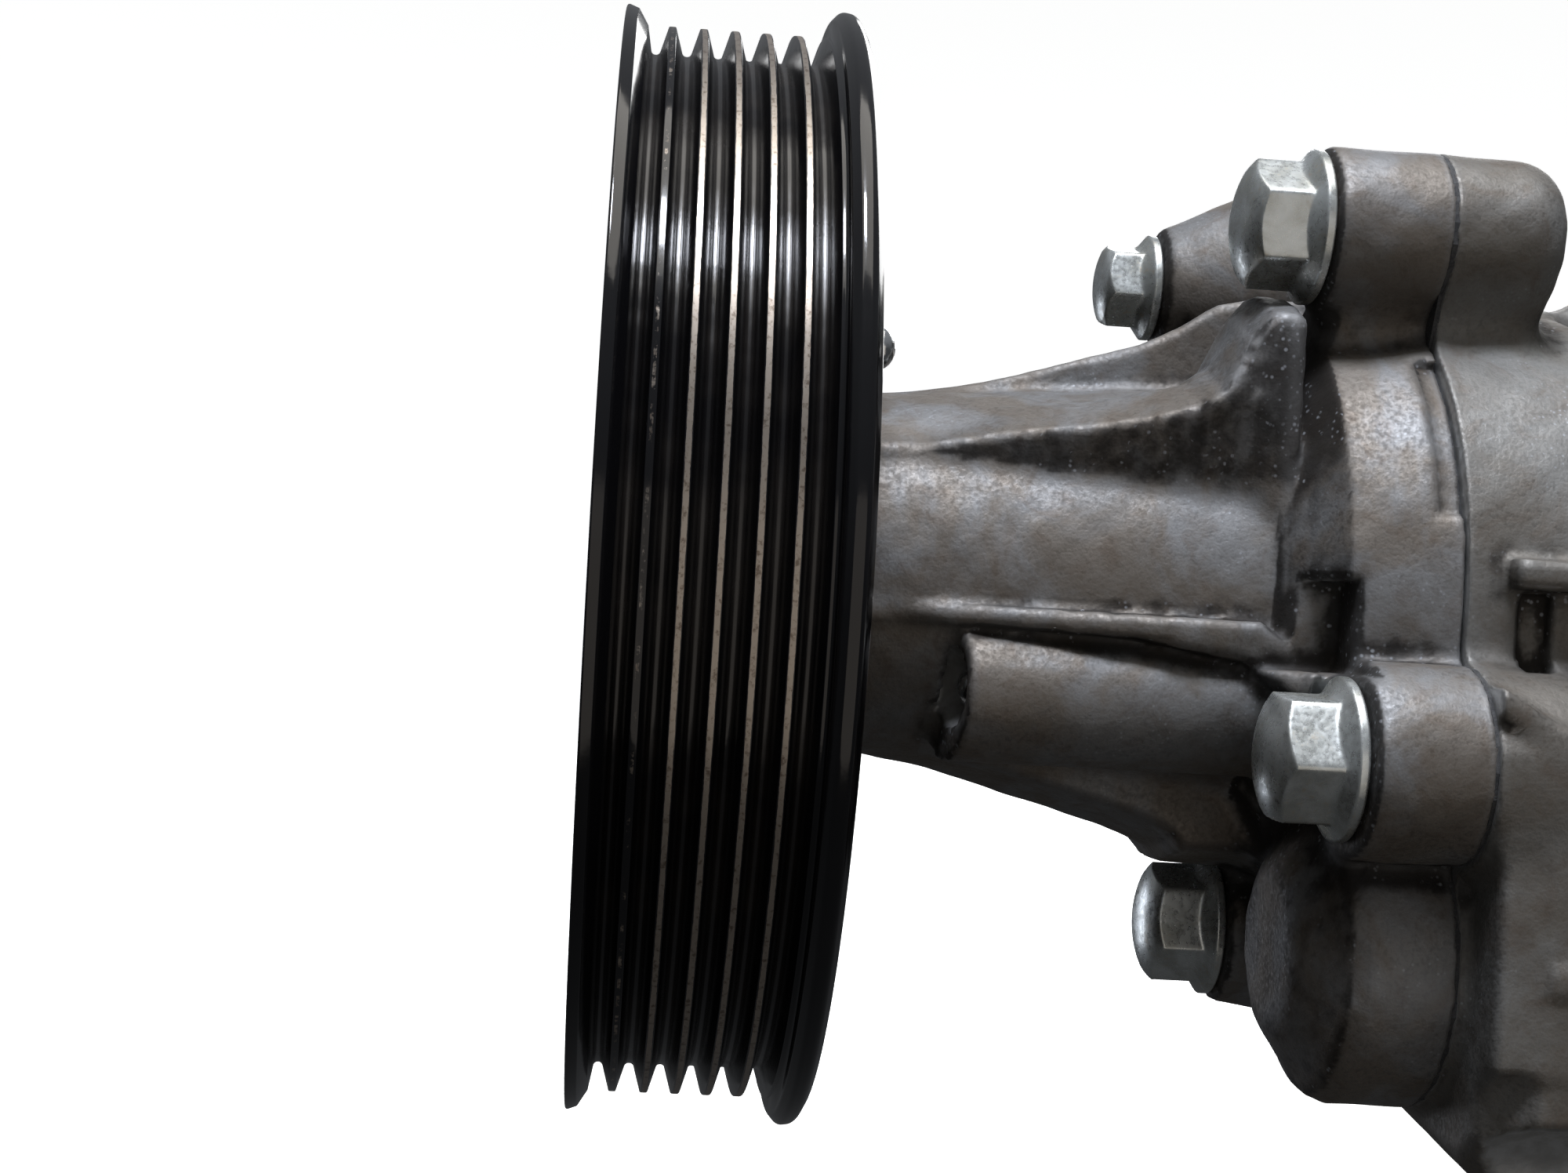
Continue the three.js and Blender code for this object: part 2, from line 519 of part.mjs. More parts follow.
place('joint_gasket', jointGasket(), FINISH.gasket);
dowelPlaces.forEach(([y, z], i) => {
  const dowel = ring(JOINT_X - 4.6, JOINT_X + 5.6, 1.6, 3, COARSE, y, z);
  place(`locating_dowel_${i + 1}`, dowel, FINISH.steel);
});
place('pump_body', pumpBody(), FINISH.castAluminium);
for (const b of BOLTS) {
  const reach = BOSS_REAR_X - 6 - b.seat;
  place(b.name, flangedBolt(b.size, b.seat, reach, b.y, b.z, b.turn), FINISH.zinc);
}
place('impeller', impeller(), FINISH.castAluminium);
place('inlet_tube', inletTube(), FINISH.steel);
const outletRing = ring(-2.1, -0.4, O_RING_R - 1.1, O_RING_R + 1.1, MEDIUM, SCROLL.y, SCROLL.z);
place('outlet_o_ring', outletRing, FINISH.rubber);

export default assembly;
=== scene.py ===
"""Looks of a belt-driven engine coolant pump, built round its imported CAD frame.

Lengths are millimetres in the part's frame: the shaft lies on x with the pulley at -x,
z is up and the engine's face is the plane x = 0. A mesh is turned to metres as it is made.
"""

import logging
import math
from dataclasses import dataclass, field
from enum import Enum

import bmesh
import bpy
import numpy as np
from mathutils import Matrix, Vector


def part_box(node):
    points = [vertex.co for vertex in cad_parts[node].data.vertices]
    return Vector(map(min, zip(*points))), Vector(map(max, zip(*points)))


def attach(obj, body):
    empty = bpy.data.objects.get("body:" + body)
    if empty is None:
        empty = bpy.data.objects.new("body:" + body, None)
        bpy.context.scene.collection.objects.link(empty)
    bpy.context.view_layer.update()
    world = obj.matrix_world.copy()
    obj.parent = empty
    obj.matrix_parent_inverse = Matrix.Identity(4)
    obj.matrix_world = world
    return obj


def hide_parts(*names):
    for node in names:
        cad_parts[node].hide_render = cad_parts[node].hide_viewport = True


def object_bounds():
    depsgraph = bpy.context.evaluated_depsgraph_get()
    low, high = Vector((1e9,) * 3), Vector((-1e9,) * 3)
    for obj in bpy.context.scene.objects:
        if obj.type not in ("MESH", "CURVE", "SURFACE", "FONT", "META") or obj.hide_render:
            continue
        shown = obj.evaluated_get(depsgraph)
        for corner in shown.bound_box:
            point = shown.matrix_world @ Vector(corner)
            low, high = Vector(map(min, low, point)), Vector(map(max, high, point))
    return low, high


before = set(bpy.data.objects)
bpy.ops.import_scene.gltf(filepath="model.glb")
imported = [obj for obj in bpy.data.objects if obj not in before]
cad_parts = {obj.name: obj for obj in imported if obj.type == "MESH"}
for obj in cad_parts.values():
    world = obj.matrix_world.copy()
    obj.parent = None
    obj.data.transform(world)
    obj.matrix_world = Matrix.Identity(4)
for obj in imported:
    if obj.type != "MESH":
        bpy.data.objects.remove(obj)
CAD_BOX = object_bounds()

MM = 0.001
GAP = 0.3                      # clearance between pieces that touch when assembled
LOG = logging.getLogger("pump")

SMOOTH = {"interpolation_type": "SMOOTHSTEP"}    # settings of a node that eases its range
COLOURS = {"data_type": "RGBA"}                  # settings of a node that mixes colours
SCROLL = (-22.0, -39.5, 17.0)                    # the volute's swelling: y, z and radius

Array = np.ndarray


# ---------------------------------------------------------------- places from the frame

def node_box(node: str) -> tuple[Vector, Vector]:
    """Lowest and highest corner of a CAD node's box, in millimetres."""
    low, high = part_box(node)
    return Vector(low) / MM, Vector(high) / MM


def node_centre(node: str) -> Vector:
    """Middle of a CAD node's box, in millimetres."""
    low, high = node_box(node)
    return (low + high) / 2


# ---------------------------------------------------------------- meshes from arrays

def mesh_object(name: str, points: Array, faces: Array, marks: dict[str, Array]) -> bpy.types.Object:
    """Puts points and four-sided faces into a new smooth-shaded object.

    Args:
        name: the object's name.
        points: (n, 3) places in millimetres.
        faces: (m, 4) indices of corners, anticlockwise seen from outside.
        marks: point attributes by name, one value for each point.

    Returns:
        The object, linked to the scene, at the origin.
    """
    mesh = bpy.data.meshes.new(name)
    mesh.vertices.add(len(points))
    mesh.vertices.foreach_set("co", (points * MM).astype(np.float32).ravel())
    mesh.loops.add(faces.size)
    mesh.loops.foreach_set("vertex_index", faces.astype(np.int32).ravel())
    mesh.polygons.add(len(faces))
    mesh.polygons.foreach_set("loop_start", np.arange(0, faces.size, 4, dtype=np.int32))
    mesh.polygons.foreach_set("use_smooth", np.ones(len(faces), dtype=bool))
    mesh.update(calc_edges=True)
    for mark, values in marks.items():
        layer = mesh.attributes.new(mark, "FLOAT", "POINT")
        layer.data.foreach_set("value", values.astype(np.float32).ravel())
    piece = bpy.data.objects.new(name, mesh)
    bpy.context.scene.collection.objects.link(piece)
    return piece


def grid_surface(name: str, points: Array, marks: dict[str, Array] | None = None) -> bpy.types.Object:
    """Makes a closed skin from a grid of points, welding its seam and its poles.

    The skin joins each point to the next along both directions of the grid, and the
    last column to the first. Rows that shrink to one point become poles.

    Args:
        name: the object's name.
        points: (rows, columns, 3) places in millimetres; columns run round the piece.
        marks: point attributes by name, each (rows, columns), kept through the weld.

    Returns:
        The object with its faces pointing out.
    """
    rows, columns = points.shape[:2]
    row, column = np.meshgrid(np.arange(rows - 1), np.arange(columns), indexing="ij")
    after = (column + 1) % columns
    faces = np.stack([
        row * columns + column, row * columns + after,
        (row + 1) * columns + after, (row + 1) * columns + column,
    ], axis=-1).reshape(-1, 4)
    piece = mesh_object(name, points.reshape(-1, 3), faces, marks or {})
    shell = bmesh.new()
    shell.from_mesh(piece.data)
    bmesh.ops.remove_doubles(shell, verts=shell.verts, dist=1e-7)
    bmesh.ops.recalc_face_normals(shell, faces=shell.faces)
    shell.to_mesh(piece.data)
    shell.free()
    return piece


def rounded(corners: list[tuple[float, float, float]], steps: int = 5) -> Array:
    """Rounds the corners of an open outline with arcs.

    Each corner is replaced by points on the circle of its radius that touches both of
    its sides; the circle's centre lies on the line that halves the corner.

    Args:
        corners: (along, across, radius of the rounding) for each corner.
        steps: arc steps at a rounded corner.

    Returns:
        (n, 2) points of the rounded outline.
    """
    places = np.array([corner[:2] for corner in corners], dtype=float)
    outline = [places[:1]]
    for before, place, after, (_, _, radius) in zip(places, places[1:], places[2:], corners[1:]):
        back, ahead = before - place, after - place
        reach_back, reach_ahead = np.linalg.norm(back), np.linalg.norm(ahead)
        back, ahead = back / reach_back, ahead / reach_ahead
        half = math.acos(float(np.clip(back @ ahead, -1, 1))) / 2
        if radius <= 0 or half > math.pi / 2 - 1e-3:
            outline.append(place[None])
            continue
        run = min(radius / math.tan(half), 0.48 * reach_back, 0.48 * reach_ahead)
        arc = run * math.tan(half)
        middle = (back + ahead) / np.linalg.norm(back + ahead)
        centre = place + middle * arc / math.sin(half)
        start, end = place + back * run - centre, place + ahead * run - centre
        share = np.linspace(0, 1, steps + 1)[:, None]
        turn = math.acos(float(np.clip(start @ end / arc**2, -1, 1)))
        bend = (np.sin((1 - share) * turn) * start + np.sin(share * turn) * end) / math.sin(turn)
        outline.append(centre + bend)
    outline.append(places[-1:])
    return np.concatenate(outline)


def turned_points(outline: Array, around: int, y: float = 0.0, z: float = 0.0) -> Array:
    """Carries an outline round an axis parallel to x.

    A point (x, r) of the outline becomes the circle (x, y + r cos a, z + r sin a).

    Args:
        outline: (n, 2) points (x, radius).
        around: number of columns round the axis.
        y: place of the axis.
        z: place of the axis.

    Returns:
        (n, around, 3) points.
    """
    angle = np.linspace(0, 2 * np.pi, around, endpoint=False)
    along, radius = outline[:, :1], outline[:, 1:]
    return np.stack([
        np.broadcast_to(along, (len(outline), around)),
        y + radius * np.cos(angle), z + radius * np.sin(angle),
    ], axis=-1)


# ---------------------------------------------------------------- finishes

def linear(colour: str) -> tuple[float, float, float, float]:
    """Turns an sRGB hex colour such as "#a0b1c2" into linear red, green, blue and alpha."""
    parts = [int(colour[i:i + 2], 16) / 255 for i in (1, 3, 5)]
    return (*[c / 12.92 if c <= 0.04045 else ((c + 0.055) / 1.055) ** 2.4 for c in parts], 1.0)


class Paint:
    """Node tree of a material or of the world, filled node by node."""

    def __init__(self, owner: bpy.types.Material | bpy.types.World) -> None:
        """Empties the owner's node tree.

        Args:
            owner: the material or the world.
        """
        owner.use_nodes = True
        self.owner = owner
        self.tree = owner.node_tree
        self.tree.nodes.clear()

    def add(self, kind: str, inputs: dict | None = None, **settings: str) -> bpy.types.Node:
        """Adds a node with its settings, values and links.

        Args:
            kind: the node's type, without the word ShaderNode.
            inputs: for each input, by name or number, a value, another node's output, or
                another node, which stands for its first output in use.
            settings: the node's own properties.

        Returns:
            The node.
        """
        node = self.tree.nodes.new("ShaderNode" + kind)
        for name, value in settings.items():
            setattr(node, name, value)
        for name, value in (inputs or {}).items():
            if isinstance(value, bpy.types.Node):
                value = next(output for output in value.outputs if output.enabled)
            if isinstance(value, bpy.types.NodeSocket):
                self.tree.links.new(value, node.inputs[name])
            else:
                node.inputs[name].default_value = value
        return node


@dataclass(frozen=True)
class SandCastAluminium:
    """Aluminium poured in a sand mould, cut bright where it is machined, and used since.

    The sand leaves a grainy satin skin, and random smears stain it brown. The hollows are
    darkened towards near-black: painted shade, and grime. Salt leaves pale bluish specks of corrosion.
    """

    name: str = "aluminium_sand_cast"
    skin: str = "#6c6761"
    cool: str = "#777879"
    stain: str = "#56493d"
    # near-black that paints shade into the hollows, and darkens some sand grains
    soot_and_shade: str = "#1d1a18"
    speck: str = "#999da3"
    cut: str = "#b3b5b6"
    sand_grain: float = 0.55     # real sand is about 0.25; drawn as coarse as it needs to show
    patch: float = 13.0          # width of a cloud of oxide
    metallic: float = 0.75

    def build(self) -> bpy.types.Material:
        """Makes the material from the marks machined, hollow and edge of a casting.

        Returns:
            The material.
        """
        paint = Paint(bpy.data.materials.new(self.name))
        place = paint.add("TexCoord").outputs["Object"]
        hollow, edge, machined = (
            paint.add("Attribute", attribute_name=mark).outputs["Fac"]
            for mark in ("hollow", "edge", "machined"))
        cloud, smear, sand, coarse = (
            paint.add("TexNoise", {"Vector": place, "Scale": 1 / (grain * MM), "Detail": detail,
                                   "Roughness": harsh, "Distortion": warp})
            for grain, detail, harsh, warp in (
                (self.patch, 4, 0.6, 0.6), (self.patch * 0.35, 4, 0.65, 1.2),
                (self.sand_grain, 2, 0.6, 0), (self.sand_grain * 4, 3, 0.6, 0)))
        crumb = paint.add("TexVoronoi", {"Vector": place, "Scale": 1 / (self.sand_grain * 1.5 * MM)})
        (cooled, browned, oil_and_shade, uneven, rubbed, dot, salty, grain, caked, drifted, shaded, dulled,
         smooth, relief) = (
            paint.add("MapRange", dict(enumerate(span)), **SMOOTH)
            for span in (
                (cloud, 0.4, 0.62, 0, 1), (smear, 0.46, 0.74, 0, 0.42), (hollow, 0.12, 0.7, 0, 1),
                (coarse, 0.35, 0.75, -0.18, 0.18), (edge, 0.12, 0.5, 0, 0.3), (crumb, 0.1, 0.26, 0.5, 0),
                (cloud, 0.54, 0.66, 0, 1), (crumb, 0.12, 0.36, 0.7, 0), (hollow, 0.3, 0.45, 0, 1),
                (smear, 0.52, 0.6, 0, 1), (sand, 0.3, 0.5, 0.16, 0), (coarse, 0.35, 0.65, 0, 0.35),
                (machined, 0, 1, 1, 0.62), (machined, 0.2, 0.8, 1, 0.06)))
        # Painted shade, and grime: the hollow mark darkens closed-in places towards near-black, with random
        # unevenness
        dirt_and_shade = paint.add("Math", {0: oil_and_shade, 1: uneven}, operation="ADD")
        dirt_and_shade = paint.add("MapRange", {0: dirt_and_shade, 1: 0.05, 2: 0.9, 3: 0, 4: 0.85}, **SMOOTH)
        fleck = paint.add("Math", {0: dot, 1: salty}, operation="MULTIPLY")
        grit = paint.add("Math", {0: grain, 1: caked}, operation="MULTIPLY")
        grit = paint.add("Math", {0: grit, 1: drifted}, operation="MULTIPLY")
        specks = paint.add("Math", {0: fleck, 1: grit}, operation="MAXIMUM")
        turned = paint.add("Mix", {0: dulled, 6: linear(self.cut), 7: linear(self.skin)}, **COLOURS)
        tone = linear(self.skin)
        for share, colour in (
            (cooled, linear(self.cool)), (browned, linear(self.stain)), (dirt_and_shade, linear(self.soot_and_shade)),
            (rubbed, linear(self.cool)), (specks, linear(self.speck)), (shaded, linear(self.soot_and_shade)),
            (machined, turned),
        ):
            tone = paint.add("Mix", {0: share, 6: tone, 7: colour}, **COLOURS)
        rough = paint.add("Math", {0: hollow, 1: 0.4, 2: sand}, operation="MULTIPLY_ADD")
        rough = paint.add("MapRange", {0: rough, 1: 0.25, 2: 0.8, 3: 0.5, 4: 0.76}, **SMOOTH)
        rough = paint.add("Math", {0: rough, 1: smooth}, operation="MULTIPLY")
        bumps = {}
        for grains, depth in ((sand, 0.035), (coarse, 0.06)):
            height = paint.add("Math", {0: grains, 1: relief}, operation="MULTIPLY")
            bump = paint.add("Bump", {"Height": height, "Distance": depth * MM, "Strength": 1} | bumps)
            bumps = {"Normal": bump}
        shader = paint.add("BsdfPrincipled", {
            "Base Color": tone, "Metallic": self.metallic, "Roughness": rough} | bumps)
        paint.add("OutputMaterial", {"Surface": shader})
        return paint.owner


@dataclass(frozen=True)
class BlackElectrocoat:
    """Spun steel dipped in black electrocoat, with the coat run off the belt's crests.

    The coat is a deep gloss with faint orange peel; bare steel shows grey with rust in it.
    """

    name: str = "steel_black_electrocoat"
    coat: str = "#0b0b0d"
    dust: str = "#2a2622"
    bare: str = "#999086"
    rust: str = "#665a50"

    def build(self) -> bpy.types.Material:
        """Makes the material from the marks worn and dust of the pulley.

        Returns:
            The material.
        """
        paint = Paint(bpy.data.materials.new(self.name))
        place = paint.add("TexCoord").outputs["Object"]
        worn, dusty = (
            paint.add("Attribute", attribute_name=mark).outputs["Fac"] for mark in ("worn", "dust"))
        along, fine, patch, orange_peel = (
            paint.add("TexNoise", {"Vector": place, "Scale": 1 / (grain * MM), "Detail": detail,
                                   "Roughness": harsh})
            for grain, detail, harsh in ((2.6, 4, 0.7), (0.7, 3, 0.7), (9.0, 3, 0.6), (1.6, 2, 0.5)))
        ragged = worn
        for noise, share in ((along, 0.55), (fine, 0.3)):
            ragged = paint.add("Math", {0: noise, 1: share, 2: ragged}, operation="MULTIPLY_ADD")
        bared, thick, rusty, rough = (
            paint.add("MapRange", dict(enumerate(span)), **SMOOTH)
            for span in (
                (ragged, 0.945, 1.065, 0, 1), (patch, 0.35, 0.7, 0.15, 0.9), (fine, 0.5, 0.7, 0, 1),
                (patch, 0.3, 0.7, 0.08, 0.14)))
        film = paint.add("Math", {0: dusty, 1: thick}, operation="MULTIPLY")
        coat = paint.add("Mix", {0: film, 6: linear(self.coat), 7: linear(self.dust)}, **COLOURS)
        steel = paint.add("Mix", {0: rusty, 6: linear(self.bare), 7: linear(self.rust)}, **COLOURS)
        for layer, share in ((film, 0.3), (bared, 0.2)):
            rough = paint.add("Math", {0: layer, 1: share, 2: rough}, operation="MULTIPLY_ADD")
        shader = paint.add("BsdfPrincipled", {
            "Base Color": paint.add("Mix", {0: bared, 6: coat, 7: steel}, **COLOURS),
            "Metallic": paint.add("Math", {0: bared, 1: 0.8}, operation="MULTIPLY"), "Roughness": rough,
            "Normal": paint.add("Bump", {"Height": orange_peel, "Distance": 0.01 * MM, "Strength": 1}),
        })
        paint.add("OutputMaterial", {"Surface": shader})
        return paint.owner


@dataclass(frozen=True)
class MetalFinish:
    """A plain surface that plating, grinding, turning, moulding or rubbing has clouded."""

    name: str
    colour: str
    shade: str
    roughness: float
    grain: float = 1.2
    metallic: float = 1.0
    relief: float = 0.02
    freckle: str | None = None

    def build(self) -> bpy.types.Material:
        """Makes the material: a cloudy colour, an uneven gloss and a shallow grain.

        Returns:
            The material.
        """
        paint = Paint(bpy.data.materials.new(self.name))
        place = paint.add("TexCoord").outputs["Object"]
        cloud, fine = (
            paint.add("TexNoise", {"Vector": place, "Scale": 1 / (grain * MM), "Detail": detail,
                                   "Roughness": 0.6, "Distortion": warp})
            for grain, detail, warp in ((self.grain * 4, 4, 0.5), (self.grain * 0.5, 3, 0)))
        gloss = (self.roughness * 0.8, min(self.roughness * 1.3, 1))
        shaded, rough, bloom, patchy = (
            paint.add("MapRange", dict(enumerate(span)), **SMOOTH)
            for span in (
                (cloud, 0.36, 0.66, 0, 1), (fine, 0.3, 0.7, *gloss),
                (fine, 0.56, 0.7, 0, 1), (cloud, 0.42, 0.62, 0, 1)))
        tone = paint.add("Mix", {0: shaded, 6: linear(self.colour), 7: linear(self.shade)}, **COLOURS)
        if self.freckle:
            spots = paint.add("Math", {0: bloom, 1: patchy}, operation="MULTIPLY")
            tone = paint.add("Mix", {0: spots, 6: tone, 7: linear(self.freckle)}, **COLOURS)
        shader = paint.add("BsdfPrincipled", {
            "Base Color": tone, "Metallic": self.metallic, "Roughness": rough,
            "Normal": paint.add("Bump", {"Height": fine, "Distance": self.relief * MM, "Strength": 1}),
        })
        paint.add("OutputMaterial", {"Surface": shader})
        return paint.owner


class Finish(Enum):
    """Every finish on the pump, by what the real surface is."""

    FRONT_CASTING = SandCastAluminium("aluminium_sand_cast_front")
    REAR_CASTING = SandCastAluminium("aluminium_sand_cast_rear", skin="#686560", cool="#747472", patch=17.0)
    PULLEY = BlackElectrocoat()
    # Bright bluish plate, dulled in spots by white bloom.
    ZINC = MetalFinish("steel_zinc_plated", "#cdd2d2", "#aeb1ad", 0.3, 1.4, 0.82, 0.02, "#b1aca1")
    # Mirror-like pressed head and ball.
    RIVET = MetalFinish("aluminium_headed_rivet", "#e4e6e8", "#c9ccce", 0.14, 0.8)
    # Satin grey with brown rust in the tool marks.
    HUB = MetalFinish("steel_turned", "#8d8f90", "#6c6a66", 0.34, 1.6, 1.0, 0.03, "#57483a")
    # Even bright steel from the grinding wheel.
    GROUND = MetalFinish("steel_ground", "#a9acae", "#8e9092", 0.2, 0.8)
    # Yellowish plate, stained by coolant.
    TUBE = MetalFinish("steel_tube_zinc_plated", "#a8a693", "#8a8876", 0.3, 2.0, 0.9, 0.02, "#6d6046")
    # Drawn sheet with a soft golden shine.
    BRASS = MetalFinish("brass_pressed", "#b99b5c", "#9c8048", 0.32, 1.0)
    # Dull black from the mould's blasted walls.
    RUBBER = MetalFinish("rubber_moulded", "#1b1b1c", "#242423", 0.62, 0.6, 0.0, 0.03)
    # Dark with the faint sheen of graphite.
    CARBON = MetalFinish("carbon_pressed", "#26272a", "#33353a", 0.42, 0.4, 0.0, 0.02)
    # Pale, lapped to a low gloss.
    CERAMIC = MetalFinish("ceramic_sintered", "#d6d1c3", "#c7c1b2", 0.35, 0.6, 0.0, 0.01)
    # Matt fibre with an open edge.
    GASKET = MetalFinish("gasket_fibre_sheet", "#2b2c2e", "#3a3b3c", 0.8, 0.5, 0.0, 0.04)
    # Brown plastic, darkened by grease.
    CAGE = MetalFinish("polyamide_cage_moulded", "#6b5a3a", "#584a30", 0.5, 0.6, 0.0, 0.02)
    # Smooth grey skin from a steel die.
    IMPELLER = MetalFinish("aluminium_die_cast", "#8f8e8a", "#75726c", 0.42, 1.2, 0.9, 0.05)

    def material(self) -> bpy.types.Material:
        """The finish's material, made once and shared."""
        made = bpy.data.materials.get(self.value.name)
        return made or self.value.build()


@dataclass(frozen=True)
class Label:
    """What the frame must know about a new piece."""

    node: str
    slot: str
    body: str = "housing"


def dress(piece: bpy.types.Object, finish: Finish, label: Label) -> None:
    """Gives a new piece its finish and its place in the frame.

    Args:
        piece: the finished object.
        finish: its surface.
        label: the CAD node that it stands for and its body.
    """
    piece.data.materials.clear()
    piece.data.materials.append(finish.material())
    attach(piece, label.body)
    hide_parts(label.node)
    LOG.info("%s: %d faces for %s", piece.name, len(piece.data.polygons), label.node)


# ---------------------------------------------------------------- solids as distance fields

def soft_union(first: Array, second: Array, reach: float) -> Array:
    """Joins two fields with a cast fillet.

    The result is the smaller distance, less the square of how far the two distances are
    closer than the reach, divided by four reaches.
    """
    near = np.maximum(reach - np.abs(first - second), 0)
    return np.minimum(first, second) - near * near / (4 * reach)


def soft_common(first: Array, second: Array, reach: float) -> Array:
    """Keeps what two fields share, with the edge between them rounded over the reach."""
    near = np.maximum(reach - np.abs(first - second), 0)
    return np.maximum(first, second) + near * near / (4 * reach)


def over_line(along: Array, height: Array, line: list[tuple[float, float]]) -> Array:
    """Distance above a bent line: the height over it times the cosine of its slope.

    Args:
        along: coordinate that the line runs in.
        height: coordinate that is measured from the line.
        line: its corners (along, height), in rising order.

    Returns:
        The distance, negative below the line.
    """
    knots, heights = np.array(line, dtype=float).T
    fine = np.linspace(knots[0], knots[-1], 400)
    level = np.interp(fine, knots, heights)
    lean = 1 / np.sqrt(1 + np.gradient(level, fine) ** 2)
    return (height - np.interp(along, fine, level)) * np.interp(along, fine, lean)


def in_bar(y: Array, z: Array, start: tuple[float, float], end: tuple[float, float], half: float) -> Array:
    """Distance to a straight bar with round ends, in the plane across the shaft.

    It is the distance to the nearest point of the line from start to end, less half
    the bar's width.

    Args:
        y: places across the shaft.
        z: places up.
        start: one end (y, z) of the bar's middle line.
        end: its other end.
        half: half the bar's width.

    Returns:
        The distance, negative inside.
    """
    run_y, run_z = end[0] - start[0], end[1] - start[1]
    share = ((y - start[0]) * run_y + (z - start[1]) * run_z) / (run_y**2 + run_z**2)
    share = np.clip(share, 0, 1)
    return np.hypot(y - start[0] - share * run_y, z - start[1] - share * run_z) - half


def in_polygon(u: Array, v: Array, corners: list[tuple[float, float]]) -> Array:
    """Distance to a closed outline: the nearest side's, negative where inside.

    A point is inside when a line from it towards +u crosses the outline an odd
    number of times.

    Args:
        u: places along the first axis.
        v: places along the second axis.
        corners: the outline's corners in order.

    Returns:
        The distance, negative inside.
    """
    nearest = np.full(np.broadcast(u, v).shape, np.inf)
    inside = np.zeros(nearest.shape, dtype=bool)
    for (u0, v0), (u1, v1) in zip(corners, corners[1:] + corners[:1]):
        run_u, run_v = u1 - u0, v1 - v0
        share = np.clip(((u - u0) * run_u + (v - v0) * run_v) / (run_u**2 + run_v**2), 0, 1)
        nearest = np.minimum(nearest, np.hypot(u - u0 - share * run_u, v - v0 - share * run_v))
        if run_v:
            crossing = u0 + (v - v0) * run_u / run_v
            inside ^= ((v0 > v) != (v1 > v)) & (u < crossing)
    return np.where(inside, -nearest, nearest)


def stops(low: float, high: float, step: float, planes: tuple[float, ...] = ()) -> Array:
    """Grid stops along one axis, three times closer beside each flat machined plane.

    Args:
        low: first stop.
        high: end of the stops.
        step: usual spacing.
        planes: places of the planes.

    Returns:
        The stops in rising order.
    """
    line = np.arange(low, high + step, step)
    close = step / 3
    for plane in planes:
        line = line[np.abs(line - plane) > 3.5 * close]
        line = np.concatenate([line, plane + close * (np.arange(-3, 3) + 0.5)])
    return np.sort(line)


def surface_net(values: Array, axes: list[Array]) -> tuple[Array, Array]:
    """Skins the zero level of a field on a grid.

    Each grid cube that the surface passes through gets one point, the mean of the places
    where the surface crosses the cube's edges. Each crossed edge joins the points of its
    four cubes with one face.

    Args:
        values: the field at the grid's nodes, negative inside.
        axes: the nodes' stops along x, y and z.

    Returns:
        Points (n, 3) and faces (m, 4) that point outwards.
    """
    inside = values < 0
    cubes = tuple(n - 1 for n in values.shape)
    count = np.zeros(cubes, dtype=np.float32)
    total = np.zeros((3, *cubes), dtype=np.float32)
    crossed_edges = []
    for axis in range(3):
        first = [slice(None)] * 3
        second = [slice(None)] * 3
        first[axis], second[axis] = slice(None, -1), slice(1, None)
        first, second = tuple(first), tuple(second)
        crossed = inside[first] != inside[second]
        gap = np.where(crossed, values[first] - values[second], 1)
        share = np.where(crossed, values[first] / gap, 0).astype(np.float32)
        crossed_edges.append(crossed)
        others = [a for a in range(3) if a != axis]
        for shift_a in (0, 1):
            for shift_b in (0, 1):
                window = [slice(None)] * 3
                window[others[0]] = slice(shift_a, shift_a + cubes[others[0]])
                window[others[1]] = slice(shift_b, shift_b + cubes[others[1]])
                window = tuple(window)
                hit = crossed[window]
                count += hit
                total[axis] += share[window]
                total[others[0]] += hit * shift_a
                total[others[1]] += hit * shift_b
    active = count > 0
    number = np.full(cubes, -1, dtype=np.int64)
    number[active] = np.arange(active.sum())
    cells = np.argwhere(active)
    places = cells + (total[:, active] / count[active]).T
    points = np.stack([
        np.interp(places[:, axis], np.arange(len(axes[axis])), axes[axis]) for axis in range(3)
    ], axis=1)
    faces = []
    for axis, crossed in enumerate(crossed_edges):
        others = [a for a in range(3) if a != axis]
        edge = np.argwhere(crossed)
        keep = np.ones(len(edge), dtype=bool)
        for other in others:
            keep &= (edge[:, other] > 0) & (edge[:, other] < cubes[other])
        edge = edge[keep]
        ring = []
        for back_a, back_b in ((1, 1), (0, 1), (0, 0), (1, 0)):
            cell = edge.copy()
            cell[:, others[0]] -= back_a
            cell[:, others[1]] -= back_b
            ring.append(number[tuple(cell.T)])
        quad = np.stack(ring, axis=1)
        outward = inside[tuple(edge.T)] ^ (axis == 1)
        faces.append(np.where(outward[:, None], quad, quad[:, ::-1]))
    return points, np.concatenate(faces)


